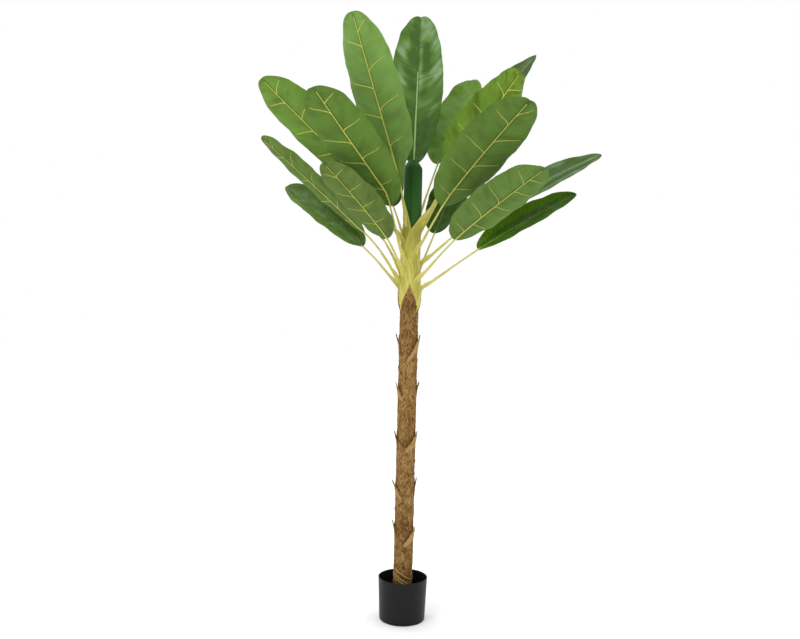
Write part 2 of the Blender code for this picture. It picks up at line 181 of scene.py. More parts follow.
# ------------------------------------------------------------------ meshes
def add_object(name, verts, faces, materials, slots=None, uvs=None, sharp=50.0, floats=None):
    """A mesh object from arrays.  uvs: {layer: one pair for each vertex}."""
    mesh = bpy.data.meshes.new(name)
    mesh.from_pydata(np.asarray(verts, float).tolist(), [], faces)
    for m in materials:
        mesh.materials.append(m)
    if slots is not None:
        mesh.polygons.foreach_set("material_index", np.asarray(slots, np.int32))
    if uvs:
        corner = np.zeros(len(mesh.loops), np.int32)
        mesh.loops.foreach_get("vertex_index", corner)
        for layer_name, uv in uvs.items():
            layer = mesh.uv_layers.new(name=layer_name)
            layer.data.foreach_set("uv", np.asarray(uv, np.float32)[corner].ravel())
    if floats:
        for attribute_name, values in floats.items():
            attribute = mesh.attributes.new(attribute_name, "FLOAT", "POINT")
            attribute.data.foreach_set("value", np.asarray(values, np.float32))
    mesh.validate()
    mesh.shade_smooth()
    mesh.set_sharp_from_angle(angle=math.radians(sharp))
    ob = bpy.data.objects.new(name, mesh)
    bpy.context.scene.collection.objects.link(ob)
    return ob


class Build:
    """Collects closed shells for one piece."""

    def __init__(self):
        self.verts, self.faces, self.slots, self.uvs, self.count = [], [], [], [], 0
        self.floats = []

    def add(self, verts, faces, slot, uv=None, value=None):
        """value: one float for each vertex, or several in columns."""
        verts = np.asarray(verts, float).reshape(-1, 3)
        base = self.count
        self.verts.append(verts)
        self.faces.extend([tuple(base + k for k in f) for f in faces])
        self.slots.extend(slot if isinstance(slot, (list, np.ndarray)) else [slot] * len(faces))
        self.uvs.append(np.zeros((len(verts), 2)) if uv is None else np.asarray(uv, float).reshape(-1, 2))
        self.floats.append(None if value is None else np.asarray(value, float).reshape(len(verts), -1))
        self.count += len(verts)

    def make(self, name, materials, sharp=50.0, float_names=()):
        k = len(float_names)
        parts = [np.full((len(v), k), 0.5) if f is None else f for v, f in zip(self.verts, self.floats)]
        floats = {n: np.concatenate([f[:, i] for f in parts]) for i, n in enumerate(float_names)}
        return add_object(name, np.vstack(self.verts), self.faces, materials, self.slots,
                          {"Place": np.vstack(self.uvs)}, sharp, floats)


def grid_faces(rows, cols, closed=False, flip=False, base=0):
    faces = []
    span = cols if closed else cols - 1
    for i in range(rows - 1):
        for j in range(span):
            a, b = base + i * cols + j, base + i * cols + (j + 1) % cols
            c, d = b + cols, a + cols
            faces.append((a, d, c, b) if flip else (a, b, c, d))
    return faces


def grid_normals(p):
    """Unit normals of a grid of points, rows x cols x 3."""
    along = np.gradient(p, axis=0)
    across = np.gradient(p, axis=1)
    return unit(np.cross(along, across))


def shell(build, p, n, thick, slots, uv=None, value=None):
    """A thin closed sheet about the grid p; slots: (face up, face down)."""
    rows, cols = p.shape[:2]
    half = np.asarray(thick)[..., None] / 2
    top, bottom = p + n * half, p - n * half
    m = rows * cols
    faces = grid_faces(rows, cols)
    slot = [slots[0]] * len(faces)
    under = grid_faces(rows, cols, flip=True, base=m)
    faces += under
    slot += [slots[1]] * len(under)
    rim = ([j for j in range(cols)] + [i * cols + cols - 1 for i in range(1, rows)]
           + [(rows - 1) * cols + j for j in range(cols - 2, -1, -1)]
           + [i * cols for i in range(rows - 2, 0, -1)])
    for a, b in zip(rim, rim[1:] + rim[:1]):
        faces.append((b, a, a + m, b + m))
        slot.append(slots[1])
    verts = np.concatenate([top.reshape(-1, 3), bottom.reshape(-1, 3)])
    # the grid's own winding may face either way: turn the shell outwards
    a, b, c, d = (verts[k] for k in faces[len(faces) // 4])
    if np.dot(np.cross(b - a, d - a), n.reshape(-1, 3)[faces[len(faces) // 4][0]]) < 0:
        faces = [tuple(reversed(f)) for f in faces]
    if uv is not None:
        uv = np.concatenate([uv.reshape(-1, 2)] * 2)
    if value is not None:
        value = np.concatenate([value.reshape(m, -1)] * 2)
    build.add(verts, faces, slot, uv, value)


def tube(build, line, radius, sides, slot, flat=1.0, up=None, uv_scale=1.0):
    """A closed tube along a line; flat squashes it along up."""
    line = np.asarray(line, float)
    k = len(line)
    radius = np.broadcast_to(np.asarray(radius, float), (k,))
    tangent = unit(np.gradient(line, axis=0))
    if up is None:
        up = np.broadcast_to(np.array([0.0, 0.0, 1.0]), tangent.shape)
    side = unit(np.cross(tangent, up))
    top = unit(np.cross(side, tangent))
    angles = 2 * np.pi * np.arange(sides) / sides
    ring = (side[:, None] * np.cos(angles)[None, :, None]
            + top[:, None] * (np.sin(angles) * flat)[None, :, None])
    pts = line[:, None] + ring * radius[:, None, None]
    length = np.concatenate([[0], np.cumsum(np.linalg.norm(np.diff(line, axis=0), axis=1))])
    uv = np.stack(np.broadcast_arrays(length[:, None] * uv_scale, (angles / (2 * np.pi))[None]), -1)
    verts = np.concatenate([pts.reshape(-1, 3), line[:1], line[-1:]])
    uv = np.concatenate([uv.reshape(-1, 2), [[0, 0]], [[length[-1], 0]]])
    faces = grid_faces(k, sides, closed=True)
    first, last = k * sides, k * sides + 1
    for j in range(sides):
        m = (j + 1) % sides
        faces.append((first, m, j))
        faces.append((last, (k - 1) * sides + j, (k - 1) * sides + m))
    a, b, c, d = (verts[q] for q in faces[0])
    if np.dot(np.cross(b - a, d - a), (a - line[0])) < 0:
        faces = [tuple(reversed(f)) for f in faces]
    build.add(verts, faces, slot, uv)


# --------------------------------------------------------------- materials
class Nodes:
    """Short-hand for building one material's nodes."""

    def __init__(self, name, roughness, specular=0.5, coat=0.0, coat_rough=0.3, sheen=0.0):
        self.material = bpy.data.materials.new(name)
        self.material.use_nodes = True
        self.tree = self.material.node_tree
        self.shader = self.tree.nodes["Principled BSDF"]
        self.shader.inputs["Roughness"].default_value = roughness
        self.shader.inputs["Specular IOR Level"].default_value = specular
        self.shader.inputs["Coat Weight"].default_value = coat
        self.shader.inputs["Coat Roughness"].default_value = coat_rough
        self.shader.inputs["Sheen Weight"].default_value = sheen

    def node(self, kind, **settings):
        n = self.tree.nodes.new(kind)
        for k, v in settings.items():
            setattr(n, k, v)
        return n

    def link(self, a, b):
        self.tree.links.new(a, b)

    def coords(self, which="Object"):
        return self.node("ShaderNodeTexCoord").outputs[which]

    def place(self, layer="Place"):
        n = self.node("ShaderNodeUVMap")
        n.uv_map = layer
        return n.outputs["UV"]

    def scaled(self, vector, scale, location=(0, 0, 0)):
        n = self.node("ShaderNodeMapping")
        n.inputs["Scale"].default_value = scale
        n.inputs["Location"].default_value = location
        self.link(vector, n.inputs["Vector"])
        return n.outputs["Vector"]

    def noise(self, vector, scale, detail=2.0, rough=0.5, distortion=0.0):
        n = self.node("ShaderNodeTexNoise")
        n.inputs["Scale"].default_value = scale
        n.inputs["Detail"].default_value = detail
        n.inputs["Roughness"].default_value = rough
        n.inputs["Distortion"].default_value = distortion
        self.link(vector, n.inputs["Vector"])
        return n.outputs["Fac"]

    def math(self, op, a, b=None):
        n = self.node("ShaderNodeMath", operation=op)
        for k, v in enumerate((a, b)):
            if v is None:
                continue
            if isinstance(v, (int, float)):
                n.inputs[k].default_value = v
            else:
                self.link(v, n.inputs[k])
        return n.outputs[0]

    def ramp(self, factor, stops):
        n = self.node("ShaderNodeValToRGB")
        e = n.color_ramp.elements
        while len(e) < len(stops):
            e.new(0.5)
        for k, (at, colour) in enumerate(stops):
            e[k].position = at
            e[k].color = (*colour, 1.0)
        self.link(factor, n.inputs["Fac"])
        return n.outputs["Color"]

    def mix(self, factor, a, b, kind="MIX"):
        n = self.node("ShaderNodeMix", data_type="RGBA", blend_type=kind)
        for socket, v in ((n.inputs[0], factor), (n.inputs[6], a), (n.inputs[7], b)):
            if isinstance(v, (int, float)):
                socket.default_value = v
            elif isinstance(v, tuple):
                socket.default_value = (*v, 1.0)
            else:
                self.link(v, socket)
        return n.outputs[2]

    def bump(self, height, distance, strength=1.0, normal=None):
        n = self.node("ShaderNodeBump")
        n.inputs["Strength"].default_value = strength
        n.inputs["Distance"].default_value = distance
        self.link(height, n.inputs["Height"])
        if normal is not None:
            self.link(normal, n.inputs["Normal"])
        return n.outputs["Normal"]

    def done(self, colour, normal=None, roughness=None):
        if isinstance(colour, tuple):
            self.shader.inputs["Base Color"].default_value = (*colour, 1.0)
        else:
            self.link(colour, self.shader.inputs["Base Color"])
        if normal is not None:
            self.link(normal, self.shader.inputs["Normal"])
        if roughness is not None:
            self.link(roughness, self.shader.inputs["Roughness"])
        return self.material


def tone(rgb, gain, warm=0.0):
    """A colour made lighter or darker, and warmer if asked (linear)."""
    r, g, b = linear(rgb)
    return (min(1.0, r * gain * (1 + warm)), min(1.0, g * gain), min(1.0, b * gain * (1 - warm)))


def leaf_material(name, rgb, upper, length=0.5, ends=(1.0, 1.0), sheen_shade_strength=0.5, sheen=0.4, stripes=None, midrib_shadow=0.5, gloss=0.10):
    """Printed leaf cloth.  Vertices carry "Pleat" (0 in the furrows, 1 on the
    ridges) and "SheenShadeMottling" (broad lighter and darker strips along the
    pleats: mottling, with painted sheen at the light end and painted shade at the
    dark end); finer threads, mottling, painted shade in the furrows and a painted
    light and shade from base to tip are added here."""
    m = Nodes(name, 0.42 if upper else 0.55, specular=gloss if upper else 0.08)
    uv = m.place()
    split = m.node("ShaderNodeSeparateXYZ")
    m.link(uv, split.inputs[0])
    along, side = split.outputs[0], split.outputs[1]
    pleat = m.node("ShaderNodeAttribute", attribute_name="Pleat").outputs["Fac"]
    sheen_shade_mottling = m.node("ShaderNodeAttribute", attribute_name="SheenShadeMottling").outputs["Fac"]
    slant = m.math("SUBTRACT", along, m.math("MULTIPLY", m.math("ABSOLUTE", side), 0.62))
    waver = m.noise(m.scaled(uv, (9, 9, 1)), 1.0, 2.0)
    phase = m.math("ADD", m.math("MULTIPLY", slant, 2 * math.pi / 0.0034), m.math("MULTIPLY", waver, 7.0))
    ribs = m.math("MULTIPLY_ADD", m.math("SINE", phase), 0.5)
    ribs.node.inputs[2].default_value = 0.5
    blotch = m.noise(m.scaled(uv, (9, 13, 1)), 1.0, 4.0, 0.6, 0.4)
    grade = m.math("MULTIPLY", along, 1.0 / length)
    # painted light and shade: the colour grows lighter or darker from base to tip
    colour = m.ramp(grade, [(0.05, tone(rgb, ends[0])), (0.50, tone(rgb, 0.5 + 0.25 * (ends[0] + ends[1]))), (0.92, tone(rgb, ends[1]))])
    colour = m.mix(m.ramp(blotch, [(0.34, (0.0,) * 3), (0.66, (0.34,) * 3)]), colour, tone(rgb, 1.22, 0.03))
    # painted shade: the dark ends of the broad strips
    colour = m.mix(m.ramp(sheen_shade_mottling, [(0.04, (sheen_shade_strength,) * 3), (0.48, (0.0,) * 3)]), colour, tone(rgb, 0.52))
    # painted sheen: the light ends of the broad strips turn pale and greyer
    pale = tuple((1 - sheen) * c + sheen * d for c, d in zip(tone(rgb, 1.45), (0.31, 0.44, 0.27))) if upper else tone(rgb, 1.32, -0.04)
    colour = m.mix(m.ramp(sheen_shade_mottling, [(0.50, (0.0,) * 3), (0.96, (sheen_shade_strength,) * 3)]), colour, pale)
    # painted shade in the furrows of the pleats
    colour = m.mix(m.math("MULTIPLY", m.math("SUBTRACT", 1.0, pleat), 0.44 if upper else 0.13), colour, tone(rgb, 0.50))
    colour = m.mix(m.math("MULTIPLY", ribs, 0.06 if upper else 0.05), colour, tone(rgb, 0.60))
    if stripes is not None:
        bars = m.node("ShaderNodeAttribute", attribute_name="Stripes").outputs["Fac"]
        colour = m.mix(bars, colour, linear(stripes))
    if midrib_shadow:
        # painted shadow: the cloth is darkened in a thin line beside the midrib
        beside = m.math("MULTIPLY", m.math("ABSOLUTE", side), 100.0)
        colour = m.mix(m.ramp(beside, [(0.25, (midrib_shadow,) * 3), (1.0, (0.0,) * 3)]), colour, tone(rgb, 0.40))
    weave = m.noise(m.scaled(uv, (1500, 1500, 1)), 1.0, 1.0)
    height = m.math("ADD", m.math("MULTIPLY", ribs, 0.8), m.math("MULTIPLY", weave, 0.25))
    normal = m.bump(height, 0.0002 if upper else 0.0003, 0.8)
    rough = m.math("MULTIPLY_ADD", blotch, 0.16)
    rough.node.inputs[2].default_value = 0.34 if upper else 0.50
    return m.done(colour, normal, rough)


def rib_material(name, rgb, rgb_dark, roughness=0.45, stripes=(3, 6)):
    """Moulded stalks and veins: fine lengthwise streaks."""
    m = Nodes(name, roughness, specular=0.4)
    uv = m.place()
    streak = m.noise(m.scaled(uv, (18, stripes[1], 1)), stripes[0], 3.0, 0.6)
    cloud = m.noise(m.coords(), 14.0, 3.0, 0.6)
    colour = m.ramp(streak, [(0.32, linear(rgb_dark)), (0.55, linear(rgb)), (0.80, tone(rgb, 1.18))])
    colour = m.mix(m.math("MULTIPLY", cloud, 0.35), colour, tone(rgb_dark, 1.25))
    normal = m.bump(streak, 0.0006, 0.6)
    return m.done(colour, normal)


# ------------------------------------------------------------ leaf surfaces
def lean_at(leans, s):
    """Lean along a leaf: s runs 0..1 on the stalk and 1..2 on the blade."""
    exit_, neck, base, tip = leans
    w = s - 1.0
    return np.where(s <= 1.0, exit_ + (neck - exit_) * s,
                    neck + (base - neck) * smooth(w / 0.16) + (tip - base) * w)


def leaf_frame(leaf, s):
    """Direction along the leaf, across it and out of its upper face."""
    s = np.asarray(s, float)
    a = math.radians(leaf["azimuth"])
    lam = np.radians(lean_at(leaf["lean"], s))
    along = np.stack([np.sin(lam) * math.cos(a), np.sin(lam) * math.sin(a), np.cos(lam)], -1)
    across = np.broadcast_to(np.array([-math.sin(a), math.cos(a), 0.0]), along.shape)
    up = np.stack([-np.cos(lam) * math.cos(a), -np.cos(lam) * math.sin(a), np.sin(lam)], -1)
    turn = np.radians(leaf["roll"] * np.minimum(1.0, s))[..., None]
    return along, across * np.cos(turn) + up * np.sin(turn), up * np.cos(turn) - across * np.sin(turn)


class Leaf:
    """One leaf's lines and the surface of its blade."""

    FINE = 480

    def __init__(self, number):
        self.number = number
        self.leaf = leaf = LEAVES[number]
        self.finish = FINISH[number]
        self.seed = 100 + int(number)
        rng = np.random.default_rng(self.seed)
        self.phase = rng.random((2, 4)) * 2 * math.pi
        self.arch = 0.006 + 0.005 * rng.random(2)
        a = math.radians(leaf["azimuth"])
        start = np.array([STALK_START_R * math.cos(a), STALK_START_R * math.sin(a), leaf["height"]])
        s = (np.arange(self.FINE) + 0.5) / self.FINE
        stalk = np.cumsum(leaf_frame(leaf, s)[0] * leaf["stalk"] / self.FINE, axis=0)
        blade = np.cumsum(leaf_frame(leaf, 1.0 + s)[0] * leaf["blade"] / self.FINE, axis=0)
        self.stalk_line = np.vstack([start, start + stalk])
        self.blade_line = np.vstack([self.stalk_line[-1], self.stalk_line[-1] + blade])

    def on_line(self, line, share):
        x = np.clip(share, 0, 1) * self.FINE
        i = np.minimum(x.astype(int), self.FINE - 1)
        f = (x - i)[..., None]
        return line[i] * (1 - f) + line[i + 1] * f

    def half_width(self, w):
        low = np.sin(math.pi / 2 * (np.clip(w, 0, 0.5) / 0.5) ** 0.55)
        high = (1.0 - np.clip((w - 0.5) / 0.5, 0, 1) ** self.leaf["blunt"]) ** self.leaf.get("point", 0.5)
        return np.where(w < 0.5, low, high) * self.leaf["width"] / 2

    def side_at(self, w, t):
        """Distance from the midrib, in metres, with small waves in the outline."""
        wave = (0.010 * np.sin(2 * math.pi * 2.3 * w + self.phase[0, 0] + 2 * (t > 0))
                + 0.006 * np.sin(2 * math.pi * 6.1 * w + self.phase[0, 1] + 3 * (t > 0))
                + 0.004 * np.sin(2 * math.pi * 17.0 * w + self.phase[0, 2] + 1 * (t > 0)))
        cut = (1 - self.leaf.get("cut", 0) * (t > 0) * (1 - smooth((w - 0.10) / 0.16))
               + self.leaf.get("lobe", 0) * (t < 0) * (1 - smooth((w - 0.25) / 0.55)))
        return self.half_width(w) * (1 + self.leaf["skew"] * np.sign(t)) * cut * (1 + wave) * t

    def slant(self, row, t):
        """How far the pleat that starts at row on the midrib has run towards
        the tip where it crosses t."""
        reach = self.half_width(row) * np.abs(t)
        run = (0.50 * reach + 1.6 * reach ** 2) / self.leaf["blade"]
        return run * (1.0 - np.clip(row, 0, 1) ** 6) * smooth(row / 0.12)

    def row_of(self, w, t):
        row = w
        for _ in range(6):
            row = np.clip(w - self.slant(row, t), 0.0, 1.0)
        return row

    def pleats(self, w, t):
        """(relief, ridge 0..1, mottling with painted sheen and shade 0..1) of the pleated cloth."""
        row = self.row_of(w, t)
        place = 0.5 + 0.45 * t
        phase = 2 * math.pi * row * self.leaf["blade"] / 0.0125 + 2.4 * value_noise(place, row, (4, 9), self.seed + 1)
        wave = np.sin(phase)
        strong = 0.55 + 0.45 * value_noise(place, row, (6, 9), self.seed + 2)
        mask = smooth(np.abs(t) / 0.10) * (1 - 0.4 * smooth((np.abs(t) - 0.9) / 0.1))
        ridge = 0.5 + 0.5 * wave * strong * mask
        sheen_shade_mottling = 0.5 + self.finish.get("calm", 1.0) * (0.34 * value_noise(place, row, (5, 15), self.seed + 3)
                                                     + 0.26 * value_noise(place, row, (7, 34), self.seed + 4))
        # painted sheen and painted shade: long lighter or darker strips beside the midrib
        for side, middle, spread, gain, low, high in self.finish.get("sheen_shade_strips", ()):
            bell = np.exp(-((np.abs(t) - middle - 0.06 * np.sin(9 * row + self.phase[0, 3])) / spread) ** 2)
            bell = bell * (np.sign(t) == side) * smooth((row - low) / 0.12) * smooth((high - row) / 0.12)
            sheen_shade_mottling = sheen_shade_mottling + gain * bell * (0.8 + 0.4 * value_noise(place, row, (6, 22), self.seed + 5))
        return wave * strong * mask * 0.00062, ridge, np.clip(sheen_shade_mottling, 0, 1)

    def stripes(self, w, t, ridge):
        """How strongly the pale printed bars show, 0..1."""
        side, start, strength, _ = self.finish["stripes"]
        bars = smooth((ridge - 0.25) / 0.55)
        reach = smooth((np.abs(t) - start) / 0.30) * (np.sign(t) == side)
        return strength * (0.30 + 0.70 * bars) * reach * smooth(w / 0.15) * smooth((1.02 - w) / 0.15)

    def point(self, w, t, relief=True):
        """The blade's middle surface: w 0..1 along it, t -1..1 across it."""
        w, t = np.broadcast_arrays(np.asarray(w, float), np.asarray(t, float))
        leaf = self.leaf
        side = self.side_at(w, t)
        fold = math.radians(leaf["fold"])
        wide = np.maximum(self.half_width(w), 1e-4)
        reach = np.abs(side)
        right = (t > 0).astype(float)
        # halves bulge between midrib and margin, margins ripple
        lift = -(self.arch[0] * (1 - right) + self.arch[1] * right) * np.sin(math.pi * np.abs(t) ** 1.2) * smooth(w / 0.2) * smooth((1 - w) / 0.2)
        ripple = self.finish["ripple"]
        wavy = (np.sin(2 * math.pi * w * leaf["blade"] / 0.150 + self.phase[1, 0] + 2.1 * right)
                + 0.6 * np.sin(2 * math.pi * w * leaf["blade"] / 0.083 + self.phase[1, 1] + 1.3 * right))
        lift = lift + ripple * wavy * np.abs(t) ** 2 * smooth(wide / 0.03)
        lift = lift + 0.0022 * value_noise(0.5 + 0.45 * t, w, (9, 7), self.seed) * smooth(np.abs(t) / 0.15)
        crumple = self.finish.get("crumple", 0.0)
        if crumple:
            lift = lift + crumple * value_noise(0.5 + 0.45 * t, w - 0.10 * np.abs(t), (13, 24), self.seed + 9) * smooth(np.abs(t) / 0.12)
        if relief:
            lift = lift + self.pleats(w, t)[0]
            # a shallow groove along the midrib on the upper face
            lift = lift - 0.0010 * np.exp(-(side / 0.006) ** 2)
        back = self.finish["notch"] * np.exp(-(side / (0.07 * leaf["width"])) ** 2) * smooth((w - 0.86) / 0.14)
        along, across, up = leaf_frame(leaf, 1.0 + w)
        return (self.on_line(self.blade_line, w) - along * back[..., None]
                + across * (side * math.cos(fold))[..., None]
                + up * (reach * math.sin(fold) + lift)[..., None])

    def normal(self, w, t):
        """Unit normal out of the upper face."""
        e = 0.004
        w = np.clip(np.asarray(w, float), 0.01, 0.99)
        da = self.point(w + e, t, False) - self.point(w - e, t, False)
        dc = self.point(w, t + e * 4, False) - self.point(w, t - e * 4, False)
        n = unit(np.cross(da, dc))
        up = leaf_frame(self.leaf, 1.0 + w)[2]
        return n * np.where((n * up).sum(-1) < 0, -1.0, 1.0)[..., None]


def blade_rows(length):
    first = 0.0007 + 0.045 * (np.arange(12) / 12) ** 2
    last = 1.0 - 0.0002 - 0.08 * (1 - np.arange(1, 25) / 24) ** 2
    return np.concatenate([first, np.linspace(0.0457, 0.9198, int(length / ROW_PITCH)), last])


def make_blade(leaf):
    number = leaf.number
    row = blade_rows(leaf.leaf["blade"])[:, None]
    u = np.linspace(-1, 1, BLADE_COLS + 1)
    t = (np.sign(u) * np.abs(u) ** 0.92)[None, :]
    # the rows of the mesh run along the pleats
    w = row + leaf.slant(row, t)
    t = t + 0 * w
    p = leaf.point(w, t)
    n = grid_normals(p)
    up = leaf_frame(leaf.leaf, 1.0 + w)[2]
    if (n * up).sum() < 0:
        n = -n
    thick = BLADE_THICK * (1 - 0.5 * np.abs(t)) * (1 - 0.3 * w)
    uv = np.stack([w * leaf.leaf["blade"], leaf.side_at(w, t)], -1)
    _, ridge, sheen_shade_mottling = leaf.pleats(w, t)
    value = [ridge, sheen_shade_mottling] + ([leaf.stripes(w, t, ridge)] if "stripes" in leaf.finish else [])
    build = Build()
    shell(build, p, n, thick, (0, 1), uv, np.stack(value, -1))
    # the pale rib along the upper face, and the creases the side veins press in, drawn as dark tubes of painted shade
    ws = np.linspace(0.004, 0.965, 72)
    centre = leaf.point(ws, 0 * ws)
    normal = leaf.normal(ws, 0 * ws)
    radius = 0.0036 * (1 - 0.74 * ws) + 0.0005
    rib = centre + normal * (BLADE_THICK * 0.35)
    pale = ws <= leaf.finish.get("pale_rib", 1.0)
    tube(build, rib[pale], radius[pale], 8, 2, flat=0.45, up=normal[pale])
    if not pale.all():
        # further up only a fold shows, a little to one side, drawn as a dark tube of painted shade
        ws = ws[ws > leaf.finish["pale_rib"] - 0.25]
        fold = leaf.point(ws, 0 * ws + 0.035) + leaf.normal(ws, 0 * ws + 0.035) * (BLADE_THICK * 0.30)
        tube(build, fold, 0.0019 - 0.0008 * np.linspace(0, 1, len(ws)), 8, 3, flat=0.35, up=leaf.normal(ws, 0 * ws + 0.035))
    for path_w, path_t, share in side_veins(leaf):
        pts, nor = leaf.point(path_w, path_t), leaf.normal(path_w, path_t)
        x = np.linspace(0, 1, len(path_w))
        tube(build, pts + nor * (BLADE_THICK * 0.30), leaf.finish.get("vein_fold_shade", 0.0011) * (1 - 0.5 * x), 6, 3, flat=0.40, up=nor)
    f = leaf.finish
    ends, length, sheen_shade_strength = f.get("ends", (0.95, 1.05)), leaf.leaf["blade"], f.get("sheen_shade_strength", 0.45)
    clear = f.get("rib", 0.30)
    ob = build.make("leaf_%s" % number, [
        leaf_material("leaf_%s_upper" % number, f["upper"], True, length, ends, sheen_shade_strength, f.get("sheen", 0.30),
                      f["stripes"][3] if "stripes" in f else None, f.get("midrib_shadow", 0.5), f.get("gloss", 0.10)),
        leaf_material("leaf_%s_under" % number, f["under"], False, length, ends, f.get("under_sheen_mottling", 0.50)),
        rib_material("leaf_%s_groove" % number, tuple(min(255, c * (1 + 0.05 * clear) + 52 * clear) for c in f["upper"]), tuple(c * 0.95 + 22 * clear for c in f["upper"]), 0.5),
        # painted shade: the crease tubes are darker copies of the upper colour
        rib_material("leaf_%s_crease" % number, tuple(c * 0.60 for c in f["upper"]), tuple(c * 0.45 for c in f["upper"]), 0.5),
    ], 50, ("Pleat", "SheenShadeMottling", "Stripes")[:len(value)])
    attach(ob, "root")
    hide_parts("leaf_%s_blade" % number)


def side_veins(leaf):
    """Side veins, alternate on the two sides: (w along the path, t, share)."""
    rng = np.random.default_rng(leaf.seed + 7)
    out = []
    for side, places in zip((-1, 1), leaf.finish.get("veins", COMMON_VEINS)):
        for k, w0 in enumerate(places):
            reach = (0.66, 0.80, 0.82, 0.72)[k] + 0.08 * (rng.random() - 0.5)
            climb = leaf.finish.get("rise", (0.036, 0.036))[0 if side < 0 else 1] / leaf.leaf["blade"]
            climb *= (0.70, 1.0, 1.05, 0.90)[k] * (0.92 + 0.16 * rng.random())
            x = np.linspace(0, 1, 16)
            w = w0 + climb * x ** 0.66
            out.append((np.minimum(w, 0.975), side * (0.012 + reach * x) + 0 * w, x))
    return out


def make_rib(leaf):
    """Stalk and midrib in one run on the underside, with the side veins."""
    number = leaf.number
    build = Build()
    s = np.linspace(0, 1, 38)
    stalk = leaf.on_line(leaf.stalk_line, s)
    ws = np.concatenate([np.linspace(0.01, 0.10, 8), np.linspace(0.115, 0.968, 64)])
    centre, normal = leaf.point(ws, 0 * ws), leaf.normal(ws, 0 * ws)
    bold = leaf.finish.get("bold", 0.8)
    r_mid = (0.0012 + 0.0028 * bold) * (1 - 0.74 * ws ** 0.8) + 0.0003
    r_mid = 0.0034 + (r_mid - 0.0034) * smooth(ws / 0.10)
    drop = (BLADE_THICK / 2 + r_mid * 0.25) * smooth(ws / 0.05)
    mid = centre - normal * drop[:, None]
    # start a little inside the sheath
    away = unit(stalk[1] - stalk[0])
    inner = np.stack([stalk[0] - away * d for d in (0.030, 0.015)])
    line = np.vstack([inner, stalk, mid])
    r_stalk = 0.0034 + 0.0019 * (1 - s) ** 1.6
    radius = np.concatenate([[0.0050, 0.0053], r_stalk, r_mid])
    up = np.vstack([np.repeat(leaf_frame(leaf.leaf, np.zeros(1))[2], 2, axis=0),
                    leaf_frame(leaf.leaf, s)[2], normal])
    tube(build, line, radius, 12, 0, up=up)
    slot = np.array(build.slots)
    # faces beyond the neck wear the vein colour
    ring = np.repeat(np.arange(len(line) - 1), 12)
    slot[:len(ring)] = np.where(ring >= 2 + len(s) + 2, 1, 0)
    build.slots = slot.tolist()
    for path_w, path_t, share in side_veins(leaf):
        pts, nor = leaf.point(path_w, path_t), leaf.normal(path_w, path_t)
        tube(build, pts - nor * (BLADE_THICK * 0.5), 0.0021 * bold ** 0.7 * (1 - 0.55 * share), 8, 1, flat=0.9, up=nor)
    # faint veins are closer to the colour of the cloth
    bright = leaf.finish.get("vein", 1.0)
    skin = [tuple(bold ** 0.6 * bright * a + (1 - bold ** 0.6) * b for a, b in zip(c, leaf.finish["under"]))
            for c in ((206, 206, 94), (160, 160, 60))]
    ob = build.make("leaf_%s_rib" % number, [STALK_SKIN, rib_material("leaf_%s_vein" % number, *skin)])
    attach(ob, "root")
    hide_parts("leaf_%s_stalk" % number)


# ------------------------------------------------------------- crown shaft
def shaft_radius(z):
    """Green shaft under the sheaths: narrow inside the bark, full just above it."""
    return 0.0305 + 0.0104 * smooth((z - 1.190) / 0.100) - 0.0042 * smooth((z - 1.320) / 0.090)


def sheath_surface(leaf, layer):
    """A leaf sheath: hugs the shaft below, narrows to a U round the stalk."""
    width0, spread = leaf.finish["sheath"]
    h = leaf.leaf["height"]
    a = math.radians(leaf.leaf["azimuth"])
    low = 1.212
    d = np.concatenate([np.linspace(low - h, -0.05, 26)[:-1], np.linspace(-0.05, 0.135, 38)])
    q = np.linspace(-1, 1, 23)
    d, q = np.meshgrid(d, q, indexing="ij")
    fade = 0.028 if width0 > 0.045 else 0.019
    width = np.where(d >= 0, 0.0115 + (width0 - 0.0115) * np.exp(-np.maximum(d, 0) / fade),
                     width0 + spread * np.maximum(-d, 0))
    # a soft limit, so that a sheath wraps a little over half of the shaft
    limit = 0.158
    width = limit * np.tanh(width / limit)
    s = np.clip(d / leaf.leaf["stalk"], 0, 1)
    path = leaf.on_line(leaf.stalk_line, s)
    along, across, up = leaf_frame(leaf.leaf, s)
    z = np.where(d >= 0, path[..., 2], h + d)
    # on the shaft
    hug = (shaft_radius(z) + (0.0009 + 0.00018 * layer) * smooth((z - 1.212) / 0.05)
           + 0.0016 * np.abs(q) ** 8 * smooth((z - 1.27) / 0.05))
    angle = a + q * width / 2 / np.maximum(hug, 0.02)
    on_shaft = np.stack([hug * np.cos(angle), hug * np.sin(angle), z], -1)
    # round the stalk
    ends_at = smooth((d - 0.085) / 0.050)
    r_stalk = 0.0034 + 0.0019 * (1 - s) ** 1.6
    radius = r_stalk + 0.0008 * (1 - ends_at) + 0.012 * np.exp(-np.maximum(d, 0) / (0.76 * fade))
    width = width * (1 - 0.75 * ends_at)
    beta = np.clip(q * width / 2 / radius, -2.4, 2.4)
    centre = np.where(d[..., None] >= 0, path,
                      np.stack([np.cos(a) * (STALK_START_R + 0 * z), np.sin(a) * (STALK_START_R + 0 * z), z], -1))
    round_stalk = (centre - up * (r_stalk + 0.0006 - radius)[..., None]
                   - up * (radius * np.cos(beta))[..., None]
                   + across * (radius * np.sin(beta))[..., None])
    blend = smooth((d + 0.055 - 0.055 * np.abs(q) ** 1.5) / 0.085)[..., None]
    p = on_shaft * (1 - blend) + round_stalk * blend
    # soften the kink where the stalk leaves the shaft
    for _ in range(3):
        p[1:-1] = p[1:-1] * 0.5 + (p[:-2] + p[2:]) * 0.25
    return p, d, q, width


